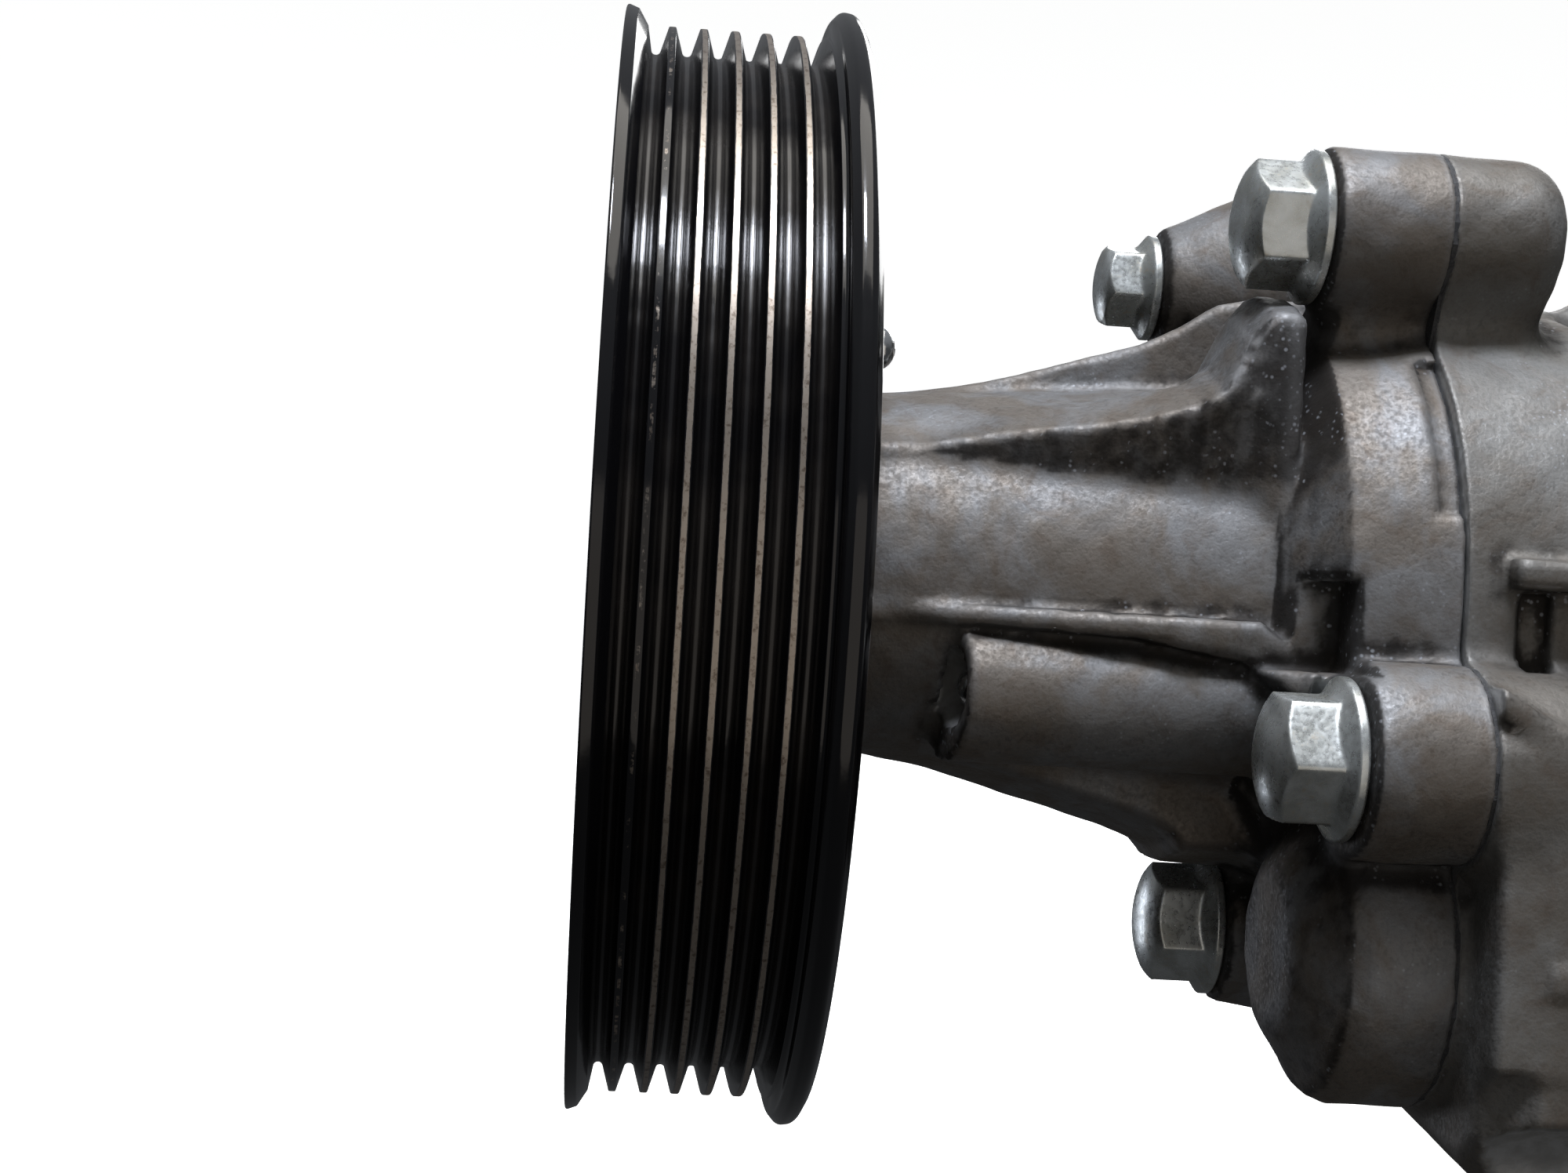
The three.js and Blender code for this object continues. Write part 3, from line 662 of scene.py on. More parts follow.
@dataclass
class Casting:
    """A cast body: a skin with fillets everywhere, less what is machined away.

    Both are distance fields, because bosses, ribs and webs that run into each other with
    fillets aren't a function of two parameters. The skin's zero level is meshed on a
    grid and then drawn onto the exact surface.
    """

    step: float = 0.8            # spacing of the meshing grid
    wave: float = 0.09           # unevenness of the mould
    low: tuple[float, float, float] = (0, 0, 0)
    high: tuple[float, float, float] = (0, 0, 0)
    planes: tuple[float, ...] = ()   # machined faces across the shaft
    draws: int = 3               # times that the net is drawn onto the surface
    open_reach: tuple[float, ...] = (1.2, 3.0, 7.0)
    thin_reach: tuple[float, ...] = (0.8, 1.6)
    cut_depth: float = 0.35      # metal taken off where a face shows fully machined

    def skin(self, x: Array, y: Array, z: Array) -> Array:
        """Distance to the surface as cast."""
        raise NotImplementedError

    def removed(self, x: Array, y: Array, z: Array) -> Array:
        """Distance to the space that is machined away, negative inside it."""
        raise NotImplementedError

    def painted_shade_and_grime(self, points: Array, normal: Array) -> Array:
        """Share of painted shade and grime added at each point, beyond the hollows' darkening."""
        return np.zeros(len(points))

    def ripple(self, x: Array, y: Array, z: Array) -> Array:
        """Unevenness: two products of sines along the axes, waves 10 and 5 mm long.

        Args:
            x, y, z: the places.

        Returns:
            The height of the waves.
        """
        slow = np.sin(0.61 * x + 0.9) * np.sin(0.53 * y + 0.2) * np.sin(0.57 * z + 1.7)
        quick = np.sin(1.3 * x) * np.sin(1.17 * y + 2) * np.sin(1.41 * z + 0.4)
        return self.wave * (slow + 0.5 * quick)

    def cast(self, x: Array, y: Array, z: Array) -> Array:
        """Distance to the surface as cast, with the mould's unevenness."""
        return self.skin(x, y, z) + self.ripple(x, y, z)

    def solid(self, x: Array, y: Array, z: Array) -> Array:
        """Distance to the finished surface."""
        return np.maximum(self.cast(x, y, z), -self.removed(x, y, z))

    def slope(self, points: Array, reach: float = 0.12) -> Array:
        """Direction and steepness of the field at points, from differences over the reach.

        Args:
            points: (n, 3) places.
            reach: step of the differences.

        Returns:
            (n, 3) rates of the field along the axes.
        """
        steps = np.eye(3) * reach
        return np.stack([
            self.solid(*(points + s).T) - self.solid(*(points - s).T) for s in steps
        ], axis=1) / (2 * reach)

    def build(self, name: str) -> bpy.types.Object:
        """Meshes the body and stores the marks machined, hollow and edge on its points.

        Hollow is how much less than the full distance the space over a point is open, and
        edge how much less than it the metal under a point is thick.

        Args:
            name: the piece's name.

        Returns:
            The piece.
        """
        margin = 1.5 * self.step
        axes = [
            stops(self.low[axis] - margin, self.high[axis] + margin, self.step, () if axis else self.planes)
            for axis in range(3)
        ]
        x, y, z = axes[0][:, None, None], axes[1][None, :, None], axes[2][None, None, :]
        points, faces = surface_net(self.solid(x, y, z), axes)
        for _ in range(self.draws):
            slope = self.slope(points)
            steep = np.maximum((slope**2).sum(axis=1), 0.2)
            move = slope * (self.solid(*points.T) / steep)[:, None]
            length = np.linalg.norm(move, axis=1, keepdims=True)
            points = points - move * np.minimum(1, 0.4 * self.step / np.maximum(length, 1e-9))
        slope = self.slope(points, 0.4)
        normal = slope / np.maximum(np.linalg.norm(slope, axis=1, keepdims=True), 1e-9)
        # the hollow mark darkens closed-in places in the material: painted shade, and grime
        hollow, edge = np.zeros(len(points)), np.zeros(len(points))
        for reach in self.open_reach:
            hollow += (1 - self.solid(*(points + reach * normal).T) / reach) / len(self.open_reach)
        # painted shade, with some grime, on walls that face the pulley and under the near rib
        hollow += self.painted_shade_and_grime(points, normal)
        for reach in self.thin_reach:
            edge += (1 + self.solid(*(points - reach * normal).T) / reach) / len(self.thin_reach)
        marks = {"hollow": hollow, "edge": edge, "machined": -self.cast(*points.T) / self.cut_depth - 0.3}
        return mesh_object(name, points, faces, {mark: np.clip(marks[mark], 0, 1) for mark in marks})


# ---------------------------------------------------------------- bolts

@dataclass(frozen=True)
class FlangedBolt:
    """Hexagon bolt with a domed crown and a pressed flange, rolled thread below."""

    across: float = 13.0
    head: float = 8.0
    dome: float = 1.3
    flange: float = 8.8
    shank: float = 4.0
    pitch: float = 1.25
    bevel: float = 36.0          # sharpness of the hexagon's corners
    skirt: float = 2.9           # height over the seat where the flange flares out
    lip: float = 1.0             # thickness of the flange's edge
    thread: float = 0.55         # depth of the thread as a share of its pitch

    def hexagon(self, angle: Array, corner: float) -> Array:
        """Distance from the axis to the flats and to their slightly rounded corners.

        It is half the width across flats, divided by the high-power mean of the cosines
        of the angles to the six flats.

        Args:
            angle: directions round the axis.
            corner: direction of one corner.

        Returns:
            The radius in each direction.
        """
        flats = corner + np.pi / 6 + np.arange(6) * np.pi / 3
        facing = np.maximum(np.cos(angle[:, None] - flats), 0)
        return self.across / 2 / (facing**self.bevel).sum(axis=1) ** (1 / self.bevel)

    def columns(self, corner: float) -> Array:
        """Directions round the axis, close together at the hexagon's corners.

        Args:
            corner: direction of one corner.

        Returns:
            The directions, in rising order.
        """
        near = np.array([0, 0.6, 1.4, 2.4, 3.8, 6, 10, 16, 23, 30])
        fan = np.radians(np.concatenate([-near[:0:-1], near[:-1]]))
        return np.sort((corner + np.arange(6)[:, None] * np.pi / 3 + fan).ravel() % (2 * np.pi))

    def points(self, seat: float, length: float, y: float, z: float, corner: float) -> Array:
        """Skin of the bolt as rings from the crown to the thread's end.

        A ring's radius is the crown's or the hexagon's, whichever is smaller, but not less
        than the flange's. On the shank it is the shank's, less a triangular thread that
        climbs one pitch in each turn.

        Args:
            seat: plane under the flange.
            length: from the seat to the thread's end.
            y: place of the axis.
            z: place of the axis.
            corner: direction of one corner of the hexagon, in radians from +y.

        Returns:
            (rings, columns, 3) places.
        """
        reach = self.across / math.sqrt(3)
        flat, full = reach * 0.83, reach * 1.02
        top = -self.head - self.dome
        out = np.linspace(0, 1, 9)
        dome = np.stack([top + self.dome * out**2.4, flat * out], axis=1)
        brim = top + self.dome
        crown = rounded([(brim, flat, 0), (brim + 1.0, full, 0), (-self.skirt, full, 0)])
        crown = np.concatenate([
            np.stack([np.linspace(a[0], b[0], n), np.linspace(a[1], b[1], n)], axis=1)
            for a, b, n in zip(crown[:-1], crown[1:], (7, 9))
        ])
        skirt = np.linspace(-self.skirt, -self.lip, 10)
        skirt = np.stack([skirt, np.full(10, full)], axis=1)
        head = np.concatenate([dome, crown, skirt])
        angle = self.columns(corner)
        flats = self.hexagon(angle, corner)[None]
        neck = self.across / 2 * 0.97
        flare = neck + (self.flange - neck) * np.clip((head[:, :1] + 2.7) / 1.7, 0, 1)
        flare = np.where(head[:, :1] < -2.75, 0, flare)
        radius = np.maximum(-soft_union(-np.minimum(head[:, 1:], flats), -flare, 0.5), 0)
        radius = np.where(head[:, :1] < -3.3, np.minimum(head[:, 1:], flats), radius)
        rim = rounded([
            (-self.lip, self.flange, 0), (-0.85, self.flange, 0.3), (0, self.flange, 0.3),
            (0, self.shank + 0.6, 0), (0.6, self.shank, 0.3), (1.2, self.shank, 0),
        ], 4)
        thread = np.arange(1.2, length - 1.0, self.pitch / 6)
        climb = (thread[:, None] / self.pitch - angle / (2 * np.pi)) % 1
        grooves = self.shank - self.thread * self.pitch * np.abs(2 * climb - 1) * np.clip(
            (thread[:, None] - 3) / 2, 0, 1)
        tip = np.array([[length - 0.9, self.shank - 0.8], [length, self.shank - 1.5], [length, 0]])
        wide = np.ones_like(angle)
        along = np.concatenate([head[:, 0], rim[:, 0], thread, tip[:, 0]])
        radius = np.concatenate([radius, rim[:, 1:] * wide, grooves, tip[:, 1:] * wide])
        return np.stack([
            seat + np.broadcast_to(along[:, None], radius.shape),
            y + radius * np.cos(angle), z + radius * np.sin(angle),
        ], axis=-1)


M8 = FlangedBolt()
M6 = FlangedBolt(across=10.0, head=6.8, dome=0.9, flange=7.0, shank=3.0, pitch=1.0)


@dataclass(frozen=True)
class BossBolt:
    """A bolt of the housing with the boss that it stands on."""

    node: str
    size: FlangedBolt
    boss: float                  # radius of the boss under the head
    ear: float                   # radius of the boss at the joint
    corner: float                # turn of the hexagon from +y, in degrees

    @property
    def seat(self) -> float:
        """Plane that the flange bears on."""
        return node_box(self.node)[0].x + self.size.head + self.size.dome + GAP

    @property
    def y(self) -> float:
        """Place of the axis."""
        return node_centre(self.node).y

    @property
    def z(self) -> float:
        """Place of the axis."""
        return node_centre(self.node).z

    def build(self) -> None:
        """Makes the bolt and dresses it in zinc plate."""
        _, high = node_box(self.node)
        under = self.seat - GAP
        points = self.size.points(under, high.x - under, self.y, self.z, math.radians(self.corner))
        piece = grid_surface(self.node.replace("housing", "flange_head"), points)
        dress(piece, Finish.ZINC, Label(self.node, "zinc_plate"))


HOUSING_BOLTS = (
    BossBolt("housing_bolt_top", M8, 9.2, 9.2, 99),
    BossBolt("housing_bolt_side", M8, 10.6, 10.6, 65),
    BossBolt("housing_bolt_bottom", M8, 9.6, 10.5, 80),
    BossBolt("housing_bolt_far", M8, 9.6, 10.5, 70),
    BossBolt("housing_bolt_small", M6, 7.6, 15.0, 78),
)


# ---------------------------------------------------------------- bearing housing

@dataclass
class BearingHousing(Casting):
    """Front casting: the nose round the bearing, its ribs, and the bolted flange."""

    nose: float = 22.0
    root: tuple[float, float] = (-56.4, 24.8)
    drum: tuple[float, float] = (-50.5, 33.6)
    web: float = 0.62            # half width of a web as a share of its boss
    weep: tuple[float, float, float] = (-19.5, -12.5, 3.0)
    bulge: tuple[float, float, float] = (-17.5, -12.8, 8.2)
    bulge_run: tuple[float, float] = (-91.5, -53.0)
    mouth_tilt: float = 0.2
    scroll: tuple[float, float, float] = SCROLL
    fillet: float = 2.0
    top_crest: list = field(default_factory=lambda: [
        (-101, 20.5), (-93.4, 22.0), (-82.1, 25.1), (-67.4, 29.7), (-63.1, 31.9), (-58.4, 35.0),
        (-54, 36), (-50, 36)])
    near_crest: list = field(default_factory=lambda: [
        (-96, 14.4), (-85.1, 16.5), (-78.2, 17.3), (-71.4, 18.5), (-65.5, 20.1), (-63.2, 21.9),
        (-60.5, 27.6), (-58.0, 30.8), (-50, 31.2)])
    near_wall: list = field(default_factory=lambda: [
        (-96, -17.6), (-59.6, -23.0), (-55, -25.2), (-50, -25.4)])
    low_crest: list = field(default_factory=lambda: [
        (-101, 20.6), (-94, 22.4), (-89, 23.6), (-79, 26.4), (-69.4, 28.9), (-65.5, 30.3), (-62.8, 31.4),
        (-61.2, 33.4), (-50, 33.4)])

    def __post_init__(self) -> None:
        """Takes the casting's limits from its CAD node."""
        low, high = node_box("bearing_housing")
        self.low, self.high = tuple(low), (node_box("joint_gasket")[0].x + 0.2, high.y, high.z)
        self.planes = (self.high[0],)

    def skin(self, x: Array, y: Array, z: Array) -> Array:
        """Distance to the surface as cast: nose, ribs, bosses and webs run together.

        Args:
            x, y, z: the places.

        Returns:
            The distance, negative inside.
        """
        radius = np.hypot(y, z)
        start = self.low[0]
        profile = [
            (start, self.nose - 0.6), (start + 8, self.nose), self.root, self.drum,
            (-39, self.drum[1] + 1.9)]
        body = soft_common(over_line(x, radius, profile), start - x, 1.5)
        for bolt in HOUSING_BOLTS:
            body = soft_union(body, self.boss(x, y, z, bolt), self.fillet)
        for shape, fillet in (
            (self.swelling, 1.8), (self.top_rib, 1.6), (self.near_rib, 1.0), (self.low_rib, 2.2),
            (self.far_ribs, self.fillet), (self.weep_bulge, 1.4), (self.side_rib, 0.9),
        ):
            body = soft_union(body, shape(x, y, z), fillet)
        return soft_common(body, -self.pockets(x, y, z), 1.2)

    def painted_shade_and_grime(self, points: Array, normal: Array) -> Array:
        """Painted shade, partly grime: darker walls that face the pulley, and darker under the near rib's
        overhang.

        Args:
            points: places on the surface.
            normal: the directions that it faces.

        Returns:
            The share of painted shade and grime at each point.
        """
        x, y, z = points.T
        facing = np.clip((-normal[:, 0] - 0.35) / 0.3, 0, 1)
        facing *= np.clip((np.hypot(y, z) - 23.5) / 1.5, 0, 1)
        sheltered = np.clip((0.2 - normal[:, 2]) / 0.2, 0, 1) * np.clip((z - 9) / 4, 0, 1)
        sheltered *= np.clip((-14 - y) / 3, 0, 1) * np.clip((-51 - x) / 3, 0, 1)
        low = 1 - 0.2 * np.clip((-24 - z) / 8, 0, 1)
        return np.maximum(0.42 * facing * low, 0.52 * sheltered)

    def boss(self, x: Array, y: Array, z: Array, bolt: BossBolt) -> Array:
        """A tapered boss and the web that ties it to the drum.

        Args:
            x, y, z: the places.
            bolt: the bolt and its boss.

        Returns:
            The distance, negative inside.
        """
        out = np.hypot(y - bolt.y, z - bolt.z)
        seat = bolt.seat
        cone = over_line(x, out, [
            (seat - 1, bolt.boss), (seat, bolt.boss), (self.high[0] - 6, bolt.ear), (0, bolt.ear)])
        cone = soft_common(cone, seat - x, 1.2)
        web = in_bar(y, z, (0, 0), (bolt.y, bolt.z), self.web * bolt.boss)
        web = soft_common(web, self.drum[0] - x, 3.0)
        return soft_union(cone, web, 2.0)

    def swelling(self, x: Array, y: Array, z: Array) -> Array:
        """The volute's swelling towards the outlet, a blunt cone on the drum.

        Args:
            x, y, z: the places.

        Returns:
            The distance, negative inside.
        """
        y0, z0, reach = self.scroll
        cone = over_line(x, np.hypot(y - y0, z - z0), [
            (-60, 2), (-54.6, 9), (-49.4, reach - 0.9), (-47.6, reach), (0, reach)])
        web = soft_common(in_bar(y, z, (0, 0), (y0, z0), 0.9 * reach), self.drum[0] + 1 - x, 1.5)
        return soft_union(soft_common(cone, -54.4 - x, 1.0), web, 2.0)

    def top_rib(self, x: Array, y: Array, z: Array) -> Array:
        """Upright rib on the crown of the nose, climbing to the web between two bosses.

        Args:
            x, y, z: the places.

        Returns:
            The distance, negative inside.
        """
        crest = over_line(x, z, self.top_crest)
        plate = np.abs(y - 1.5) - 3.4
        return np.maximum(soft_common(crest, plate, 1.0), 8 - z)

    def near_rib(self, x: Array, y: Array, z: Array) -> Array:
        """Block rib with a steep near wall, climbing to the near side of the top boss.

        Args:
            x, y, z: the places.

        Returns:
            The distance, negative inside.
        """
        lean = np.interp(x, [-96, -64, -56], [0.08, 0.34, 0.12])
        flash = 0.22 * np.sin(1.7 * x) * np.sin(0.9 * x + 1) * np.exp(-((z - 18) / 4) ** 2)
        near = over_line(x, y + lean * np.clip(z - 12, -4, 9) + flash, self.near_wall)
        crest = over_line(x, z - 0.38 * np.clip(near, 0, 9), self.near_crest)
        plate = np.maximum(-near, y + 11.0)
        rib = soft_common(crest, plate, 0.8)
        return np.maximum(soft_common(rib, x + 54.2, 2.5), 2 - z)

    def low_rib(self, x: Array, y: Array, z: Array) -> Array:
        """Broad rib under the nose that steps down over the bottom bolt.

        Args:
            x, y, z: the places.

        Returns:
            The distance, negative inside.
        """
        depth = over_line(x, -z - 0.24 * np.clip(y - 3, -14, 0), self.low_crest)
        plate = np.maximum(-10 - y, y - 14)
        return np.maximum(soft_common(depth, plate, 1.4), z + 6)

    def far_ribs(self, x: Array, y: Array, z: Array) -> Array:
        """Two plain radial ribs on the far side, to the far boss and the small boss.

        Args:
            x, y, z: the places.

        Returns:
            The distance, negative inside.
        """
        ribs = None
        for bolt in HOUSING_BOLTS[3:]:
            reach = math.hypot(bolt.y, bolt.z)
            out_y, out_z = bolt.y / reach, bolt.z / reach
            out = y * out_y + z * out_z
            aside = np.abs(y * out_z - z * out_y) - 3.0
            crest = over_line(x, out, [
                (-97, 20.5), (-80, 24.5), (-66, 28.0), (-60, 31.5), (-55, reach - 8), (-50, reach - 4)])
            rib = np.maximum(soft_common(crest, aside, 1.8), 10 - out)
            ribs = rib if ribs is None else np.minimum(ribs, rib)
        return ribs

    def weep_bulge(self, x: Array, y: Array, z: Array) -> Array:
        """Half-round swelling along the nose that holds the weep passage.

        Args:
            x, y, z: the places.

        Returns:
            The distance, negative inside.
        """
        y0, z0, reach = self.bulge
        first, last = self.bulge_run
        tube = np.hypot(y - y0, z - z0) - reach
        face = first + self.mouth_tilt * (y0 - y) - x
        return soft_common(soft_common(tube, face, 0.6), x - last, 3.0)

    def side_rib(self, x: Array, y: Array, z: Array) -> Array:
        """Flat shelf above the weep bulge that bends down into the side boss.

        Args:
            x, y, z: the places.

        Returns:
            The distance, negative inside.
        """
        edge = over_line(x, y, [
            (-98, -21.2), (-94.5, -22.6), (-84, -24.4), (-70, -26.6), (-58, -29.0), (-54.8, -31),
            (-50, -36)])
        top = over_line(x, z, [(-97, -3.2), (-58, -3.4), (-54.8, -5.8), (-51, -10), (-46, -14)])
        under = over_line(x, z, [(-97, -5.4), (-72, -5.9), (-60, -8.0), (-55, -12), (-46, -19)])
        shelf = soft_common(top, -under, 0.8)
        return np.maximum(soft_common(shelf, -edge, 1.0), y + 12)

    def pockets(self, x: Array, y: Array, z: Array) -> Array:
        """Spaces left by the mould: the stepped front wall and a relief at the joint.

        Args:
            x, y, z: the places.

        Returns:
            The distance, negative inside.
        """
        radius = np.hypot(y, z)
        step = np.maximum(np.abs(z + 3.5) - 5.0, np.maximum(x + 49.8, y + 20))
        step = np.maximum(step, 27.5 - radius)
        relief = np.maximum(np.abs(z - 18) - 8.5, np.maximum(-41.0 - x, 34.4 - radius))
        relief = np.maximum(relief, y + 15)
        return np.minimum(step, relief)

    def removed(self, x: Array, y: Array, z: Array) -> Array:
        """Distance to the machined spaces: joint face, seats, bores, holes and weep.

        Args:
            x, y, z: the places.

        Returns:
            The distance, negative inside.
        """
        radius = np.hypot(y, z)
        gone = self.high[0] - x
        bore = over_line(x, radius, [
            (-110, 15.3), (-62, 15.3), (-61.9, 17), (-57, 17), (-56.9, 12), (-55.6, 12), (-55.5, 17.3),
            (-43, 17.3), (-42.9, 29.5), (0, 29.5)])
        gone = np.minimum(gone, bore)
        for bolt in HOUSING_BOLTS:
            out = np.hypot(y - bolt.y, z - bolt.z)
            seat = bolt.seat
            wide = np.where(x > seat - 2.6, bolt.size.flange, bolt.size.across / math.sqrt(3)) + 0.8
            room = np.maximum(out - wide, np.maximum(seat - 12 - x, x - seat))
            gone = np.minimum(gone, np.minimum(room, out - bolt.size.shank - GAP))
        y0, z0, reach = self.weep
        inward = x - self.bulge_run[0] - self.mouth_tilt * (self.bulge[0] - y)
        hole = np.hypot(y - y0, z - z0) - reach - 0.8 * np.clip(2.2 - inward, 0, 2.2)
        return np.minimum(gone, np.maximum(np.maximum(hole, x + 60), -0.5 - inward))


# ---------------------------------------------------------------- pump body

@dataclass
class PumpBody(Casting):
    """Rear casting: the volute, its outlet leg, the inlet socket and the engine flange."""

    drum: float = 36.0
    face: float = -38.1
    boss_end: float = -24.5
    scroll: tuple[float, float, float] = SCROLL
    flange: float = -11.0
    lug: float = 10.0
    lugs: tuple[tuple[float, float], ...] = ((-40, 26), (-6, 46), (46, -28), (-48, -62), (8, -68))
    tube: tuple[float, float, float] = (-18.5, 6.0, 18.5)
    leg_front: tuple = ((-46, -16), (-30, -8), (4, -18), (4, -48), (-12, -55), (-36, -55), (-46, -48))
    leg_deep: tuple = ((-46, -14), (-30, -8), (4, -18), (4, -50), (-12, -61), (-38, -64), (-46, -58))

    def __post_init__(self) -> None:
        """Takes the casting's limits from its CAD node."""
        low, high = node_box("pump_body")
        self.face = node_box("joint_gasket")[1].x - 0.2
        self.low, self.high = (self.face, low.y, low.z), tuple(high)
        self.planes = (self.face, high.x)

    def skin(self, x: Array, y: Array, z: Array) -> Array:
        """Distance to the surface as cast: drum, bosses, leg, lugs and socket together.

        Args:
            x, y, z: the places.

        Returns:
            The distance, negative inside.
        """
        radius = np.hypot(y, z)
        body = over_line(x, radius, [
            (-45, self.drum), (-20, self.drum), (-14, 31), (-9, 31), (0, self.drum)])
        for bolt in HOUSING_BOLTS:
            body = soft_union(body, self.boss(x, y, z, bolt), 3.0)
        body = soft_union(body, self.leg(x, y, z), 4.0)
        for y0, z0 in self.lugs:
            body = soft_union(body, self.lug_block(x, y, z, y0, z0), 3.0)
        body = soft_union(body, self.socket(x, y, z), 4.0)
        body = soft_union(body, self.side_details(x, y, z), 1.2)
        return np.maximum(body, -self.pockets(x, y, z))

    def boss(self, x: Array, y: Array, z: Array, bolt: BossBolt) -> Array:
        """A threaded boss with a rounded blind end, and its web to the drum.

        Args:
            x, y, z: the places.
            bolt: the bolt and its boss.

        Returns:
            The distance, negative inside.
        """
        out = np.hypot(y - bolt.y, z - bolt.z)
        cone = soft_common(out - bolt.ear + 0.03 * (x - self.face), x - self.boss_end, 6.0)
        web = in_bar(y, z, (0, 0), (bolt.y, bolt.z), 0.85 * bolt.boss)
        return soft_union(cone, soft_common(web, x - self.boss_end + 1.5, 4.0), 2.0)

    def leg(self, x: Array, y: Array, z: Array) -> Array:
        """The outlet leg and the volute's swelling, flaring from the joint to full depth.

        Args:
            x, y, z: the places.

        Returns:
            The distance, negative inside.
        """
        flare = 0.9 * np.clip(-32 - x, 0, 7)
        deep = in_polygon(y, z, list(self.leg_deep)) + flare
        front = in_polygon(y, z, list(self.leg_front))
        y0, z0, reach = self.scroll
        round_end = np.hypot(y - y0, z - z0) - reach
        deep = soft_common(soft_union(front, deep, 2.0), self.face + 1.4 - x, 1.2)
        return soft_union(deep, round_end, 2.0)

    def lug_block(self, x: Array, y: Array, z: Array, y0: float, z0: float) -> Array:
        """A mounting lug, its web along the flange and a sloping gusset to the drum.

        Args:
            x, y, z: the places.
            y0: place of the lug's hole.
            z0: place of the lug's hole.

        Returns:
            The distance, negative inside.
        """
        out = np.hypot(y - y0, z - z0) - self.lug
        web = in_bar(y, z, (0.3 * y0, 0.3 * z0), (y0, z0), 0.8 * self.lug)
        plate = soft_common(np.minimum(out, web), self.flange - x, 1.6)
        reach = math.hypot(y0, z0)
        along = (y * y0 + z * z0) / reach
        aside = np.abs(y * z0 - z * y0) / reach - 2.6
        crest = over_line(along, -x, [(20, 34), (32, 27), (reach - 7, 12), (reach + 12, 6)])
        gusset = soft_common(crest, aside, 1.4)
        gusset = soft_common(gusset, along - reach + 3.0, 1.4)
        return soft_union(plate, np.maximum(gusset, 16 - along), 2.4)

    def socket(self, x: Array, y: Array, z: Array) -> Array:
        """The boss that the inlet tube is pressed into, with a rounded mouth.

        Args:
            x, y, z: the places.

        Returns:
            The distance, negative inside.
        """
        x0, z0, reach = self.tube
        out = np.hypot(x - x0, z - z0) - reach
        end = y - 46.0
        return np.maximum(np.maximum(soft_common(out, end, 2.0), -y), np.maximum(x, self.face - x))

    def side_details(self, x: Array, y: Array, z: Array) -> Array:
        """Cast details on the near side: a ledge over a slot and a slanting rib.

        Args:
            x, y, z: the places.

        Returns:
            The distance, negative inside.
        """
        ledge = soft_common(np.abs(z - 3.2) - 1.6, np.maximum(-39.5 - y, -34.5 - x), 0.8)
        slant = z + 10 + 0.62 * (x + 39)
        rib = soft_common(np.abs(slant) - 1.6, np.maximum(-47.2 - y, y + 30), 0.9)
        foot = soft_common(np.abs(z + 38.5) - 1.3, np.maximum(-47.0 - y, -31.5 - x), 0.8)
        shapes = np.minimum(np.minimum(ledge, rib), foot)
        return np.maximum(np.maximum(shapes, y + 20), x + 12)

    def pockets(self, x: Array, y: Array, z: Array) -> Array:
        """Spaces left by the mould: a slot on the near side and the flange's hollow back.

        Args:
            x, y, z: the places.

        Returns:
            The distance, negative inside.
        """
        radius = np.hypot(y, z)
        slot = np.maximum(np.abs(z + 3.0) - 4.2, np.maximum(-33.0 - x, x + 29.5))
        slot = np.maximum(slot, np.maximum(y + 34.6, -60 - y))
        hollow = np.maximum(radius - 26, -3.2 - x)
        spokes = np.abs(np.sin(3 * np.arctan2(z, y))) * radius / 3 - 2.2
        return np.minimum(slot, np.maximum(hollow, -spokes))

    def removed(self, x: Array, y: Array, z: Array) -> Array:
        """Distance to the machined spaces: both faces, chambers, port, holes and threads.

        Args:
            x, y, z: the places.

        Returns:
            The distance, negative inside.
        """
        radius = np.hypot(y, z)
        gone = np.minimum(x - self.face, -x)
        chambers = [
            np.maximum(radius - 30.5, x + 27), np.maximum(radius - 15, x + 24),
            np.maximum(radius - 27, np.maximum(-25 - x, x + 8)),
        ]
        y0, z0, _ = self.scroll
        port = np.hypot(y - y0, z - z0)
        chambers.append(np.maximum(port - 13, -36 - x))
        chambers.append(np.maximum(np.abs(port - 15.6) - 1.4, -2.4 - x))
        throat = in_bar(y, z, (0, 0), (y0, z0), 9)
        chambers.append(np.maximum(throat, x + 29))
        x0, z1, _ = self.tube
        tube = np.hypot(x - x0, z - z1)
        chambers.append(np.maximum(tube - 15.3, 33.7 - y))
        chambers.append(np.maximum(np.maximum(tube - 13, -y), np.maximum(-25 - x, x + 8)))
        for bolt in HOUSING_BOLTS:
            out = np.hypot(y - bolt.y, z - bolt.z)
            chambers.append(np.maximum(out - bolt.size.shank - GAP, x - self.boss_end + 4))
        for y1, z1 in self.lugs:
            chambers.append(np.hypot(y - y1, z - z1) - 4.5)
            chambers.append(np.maximum(np.hypot(y - y1, z - z1) - 8.6, x - self.flange - 0.6))
        for chamber in chambers:
            gone = np.minimum(gone, chamber)
        return gone


# ---------------------------------------------------------------- pulley, hub and shaft

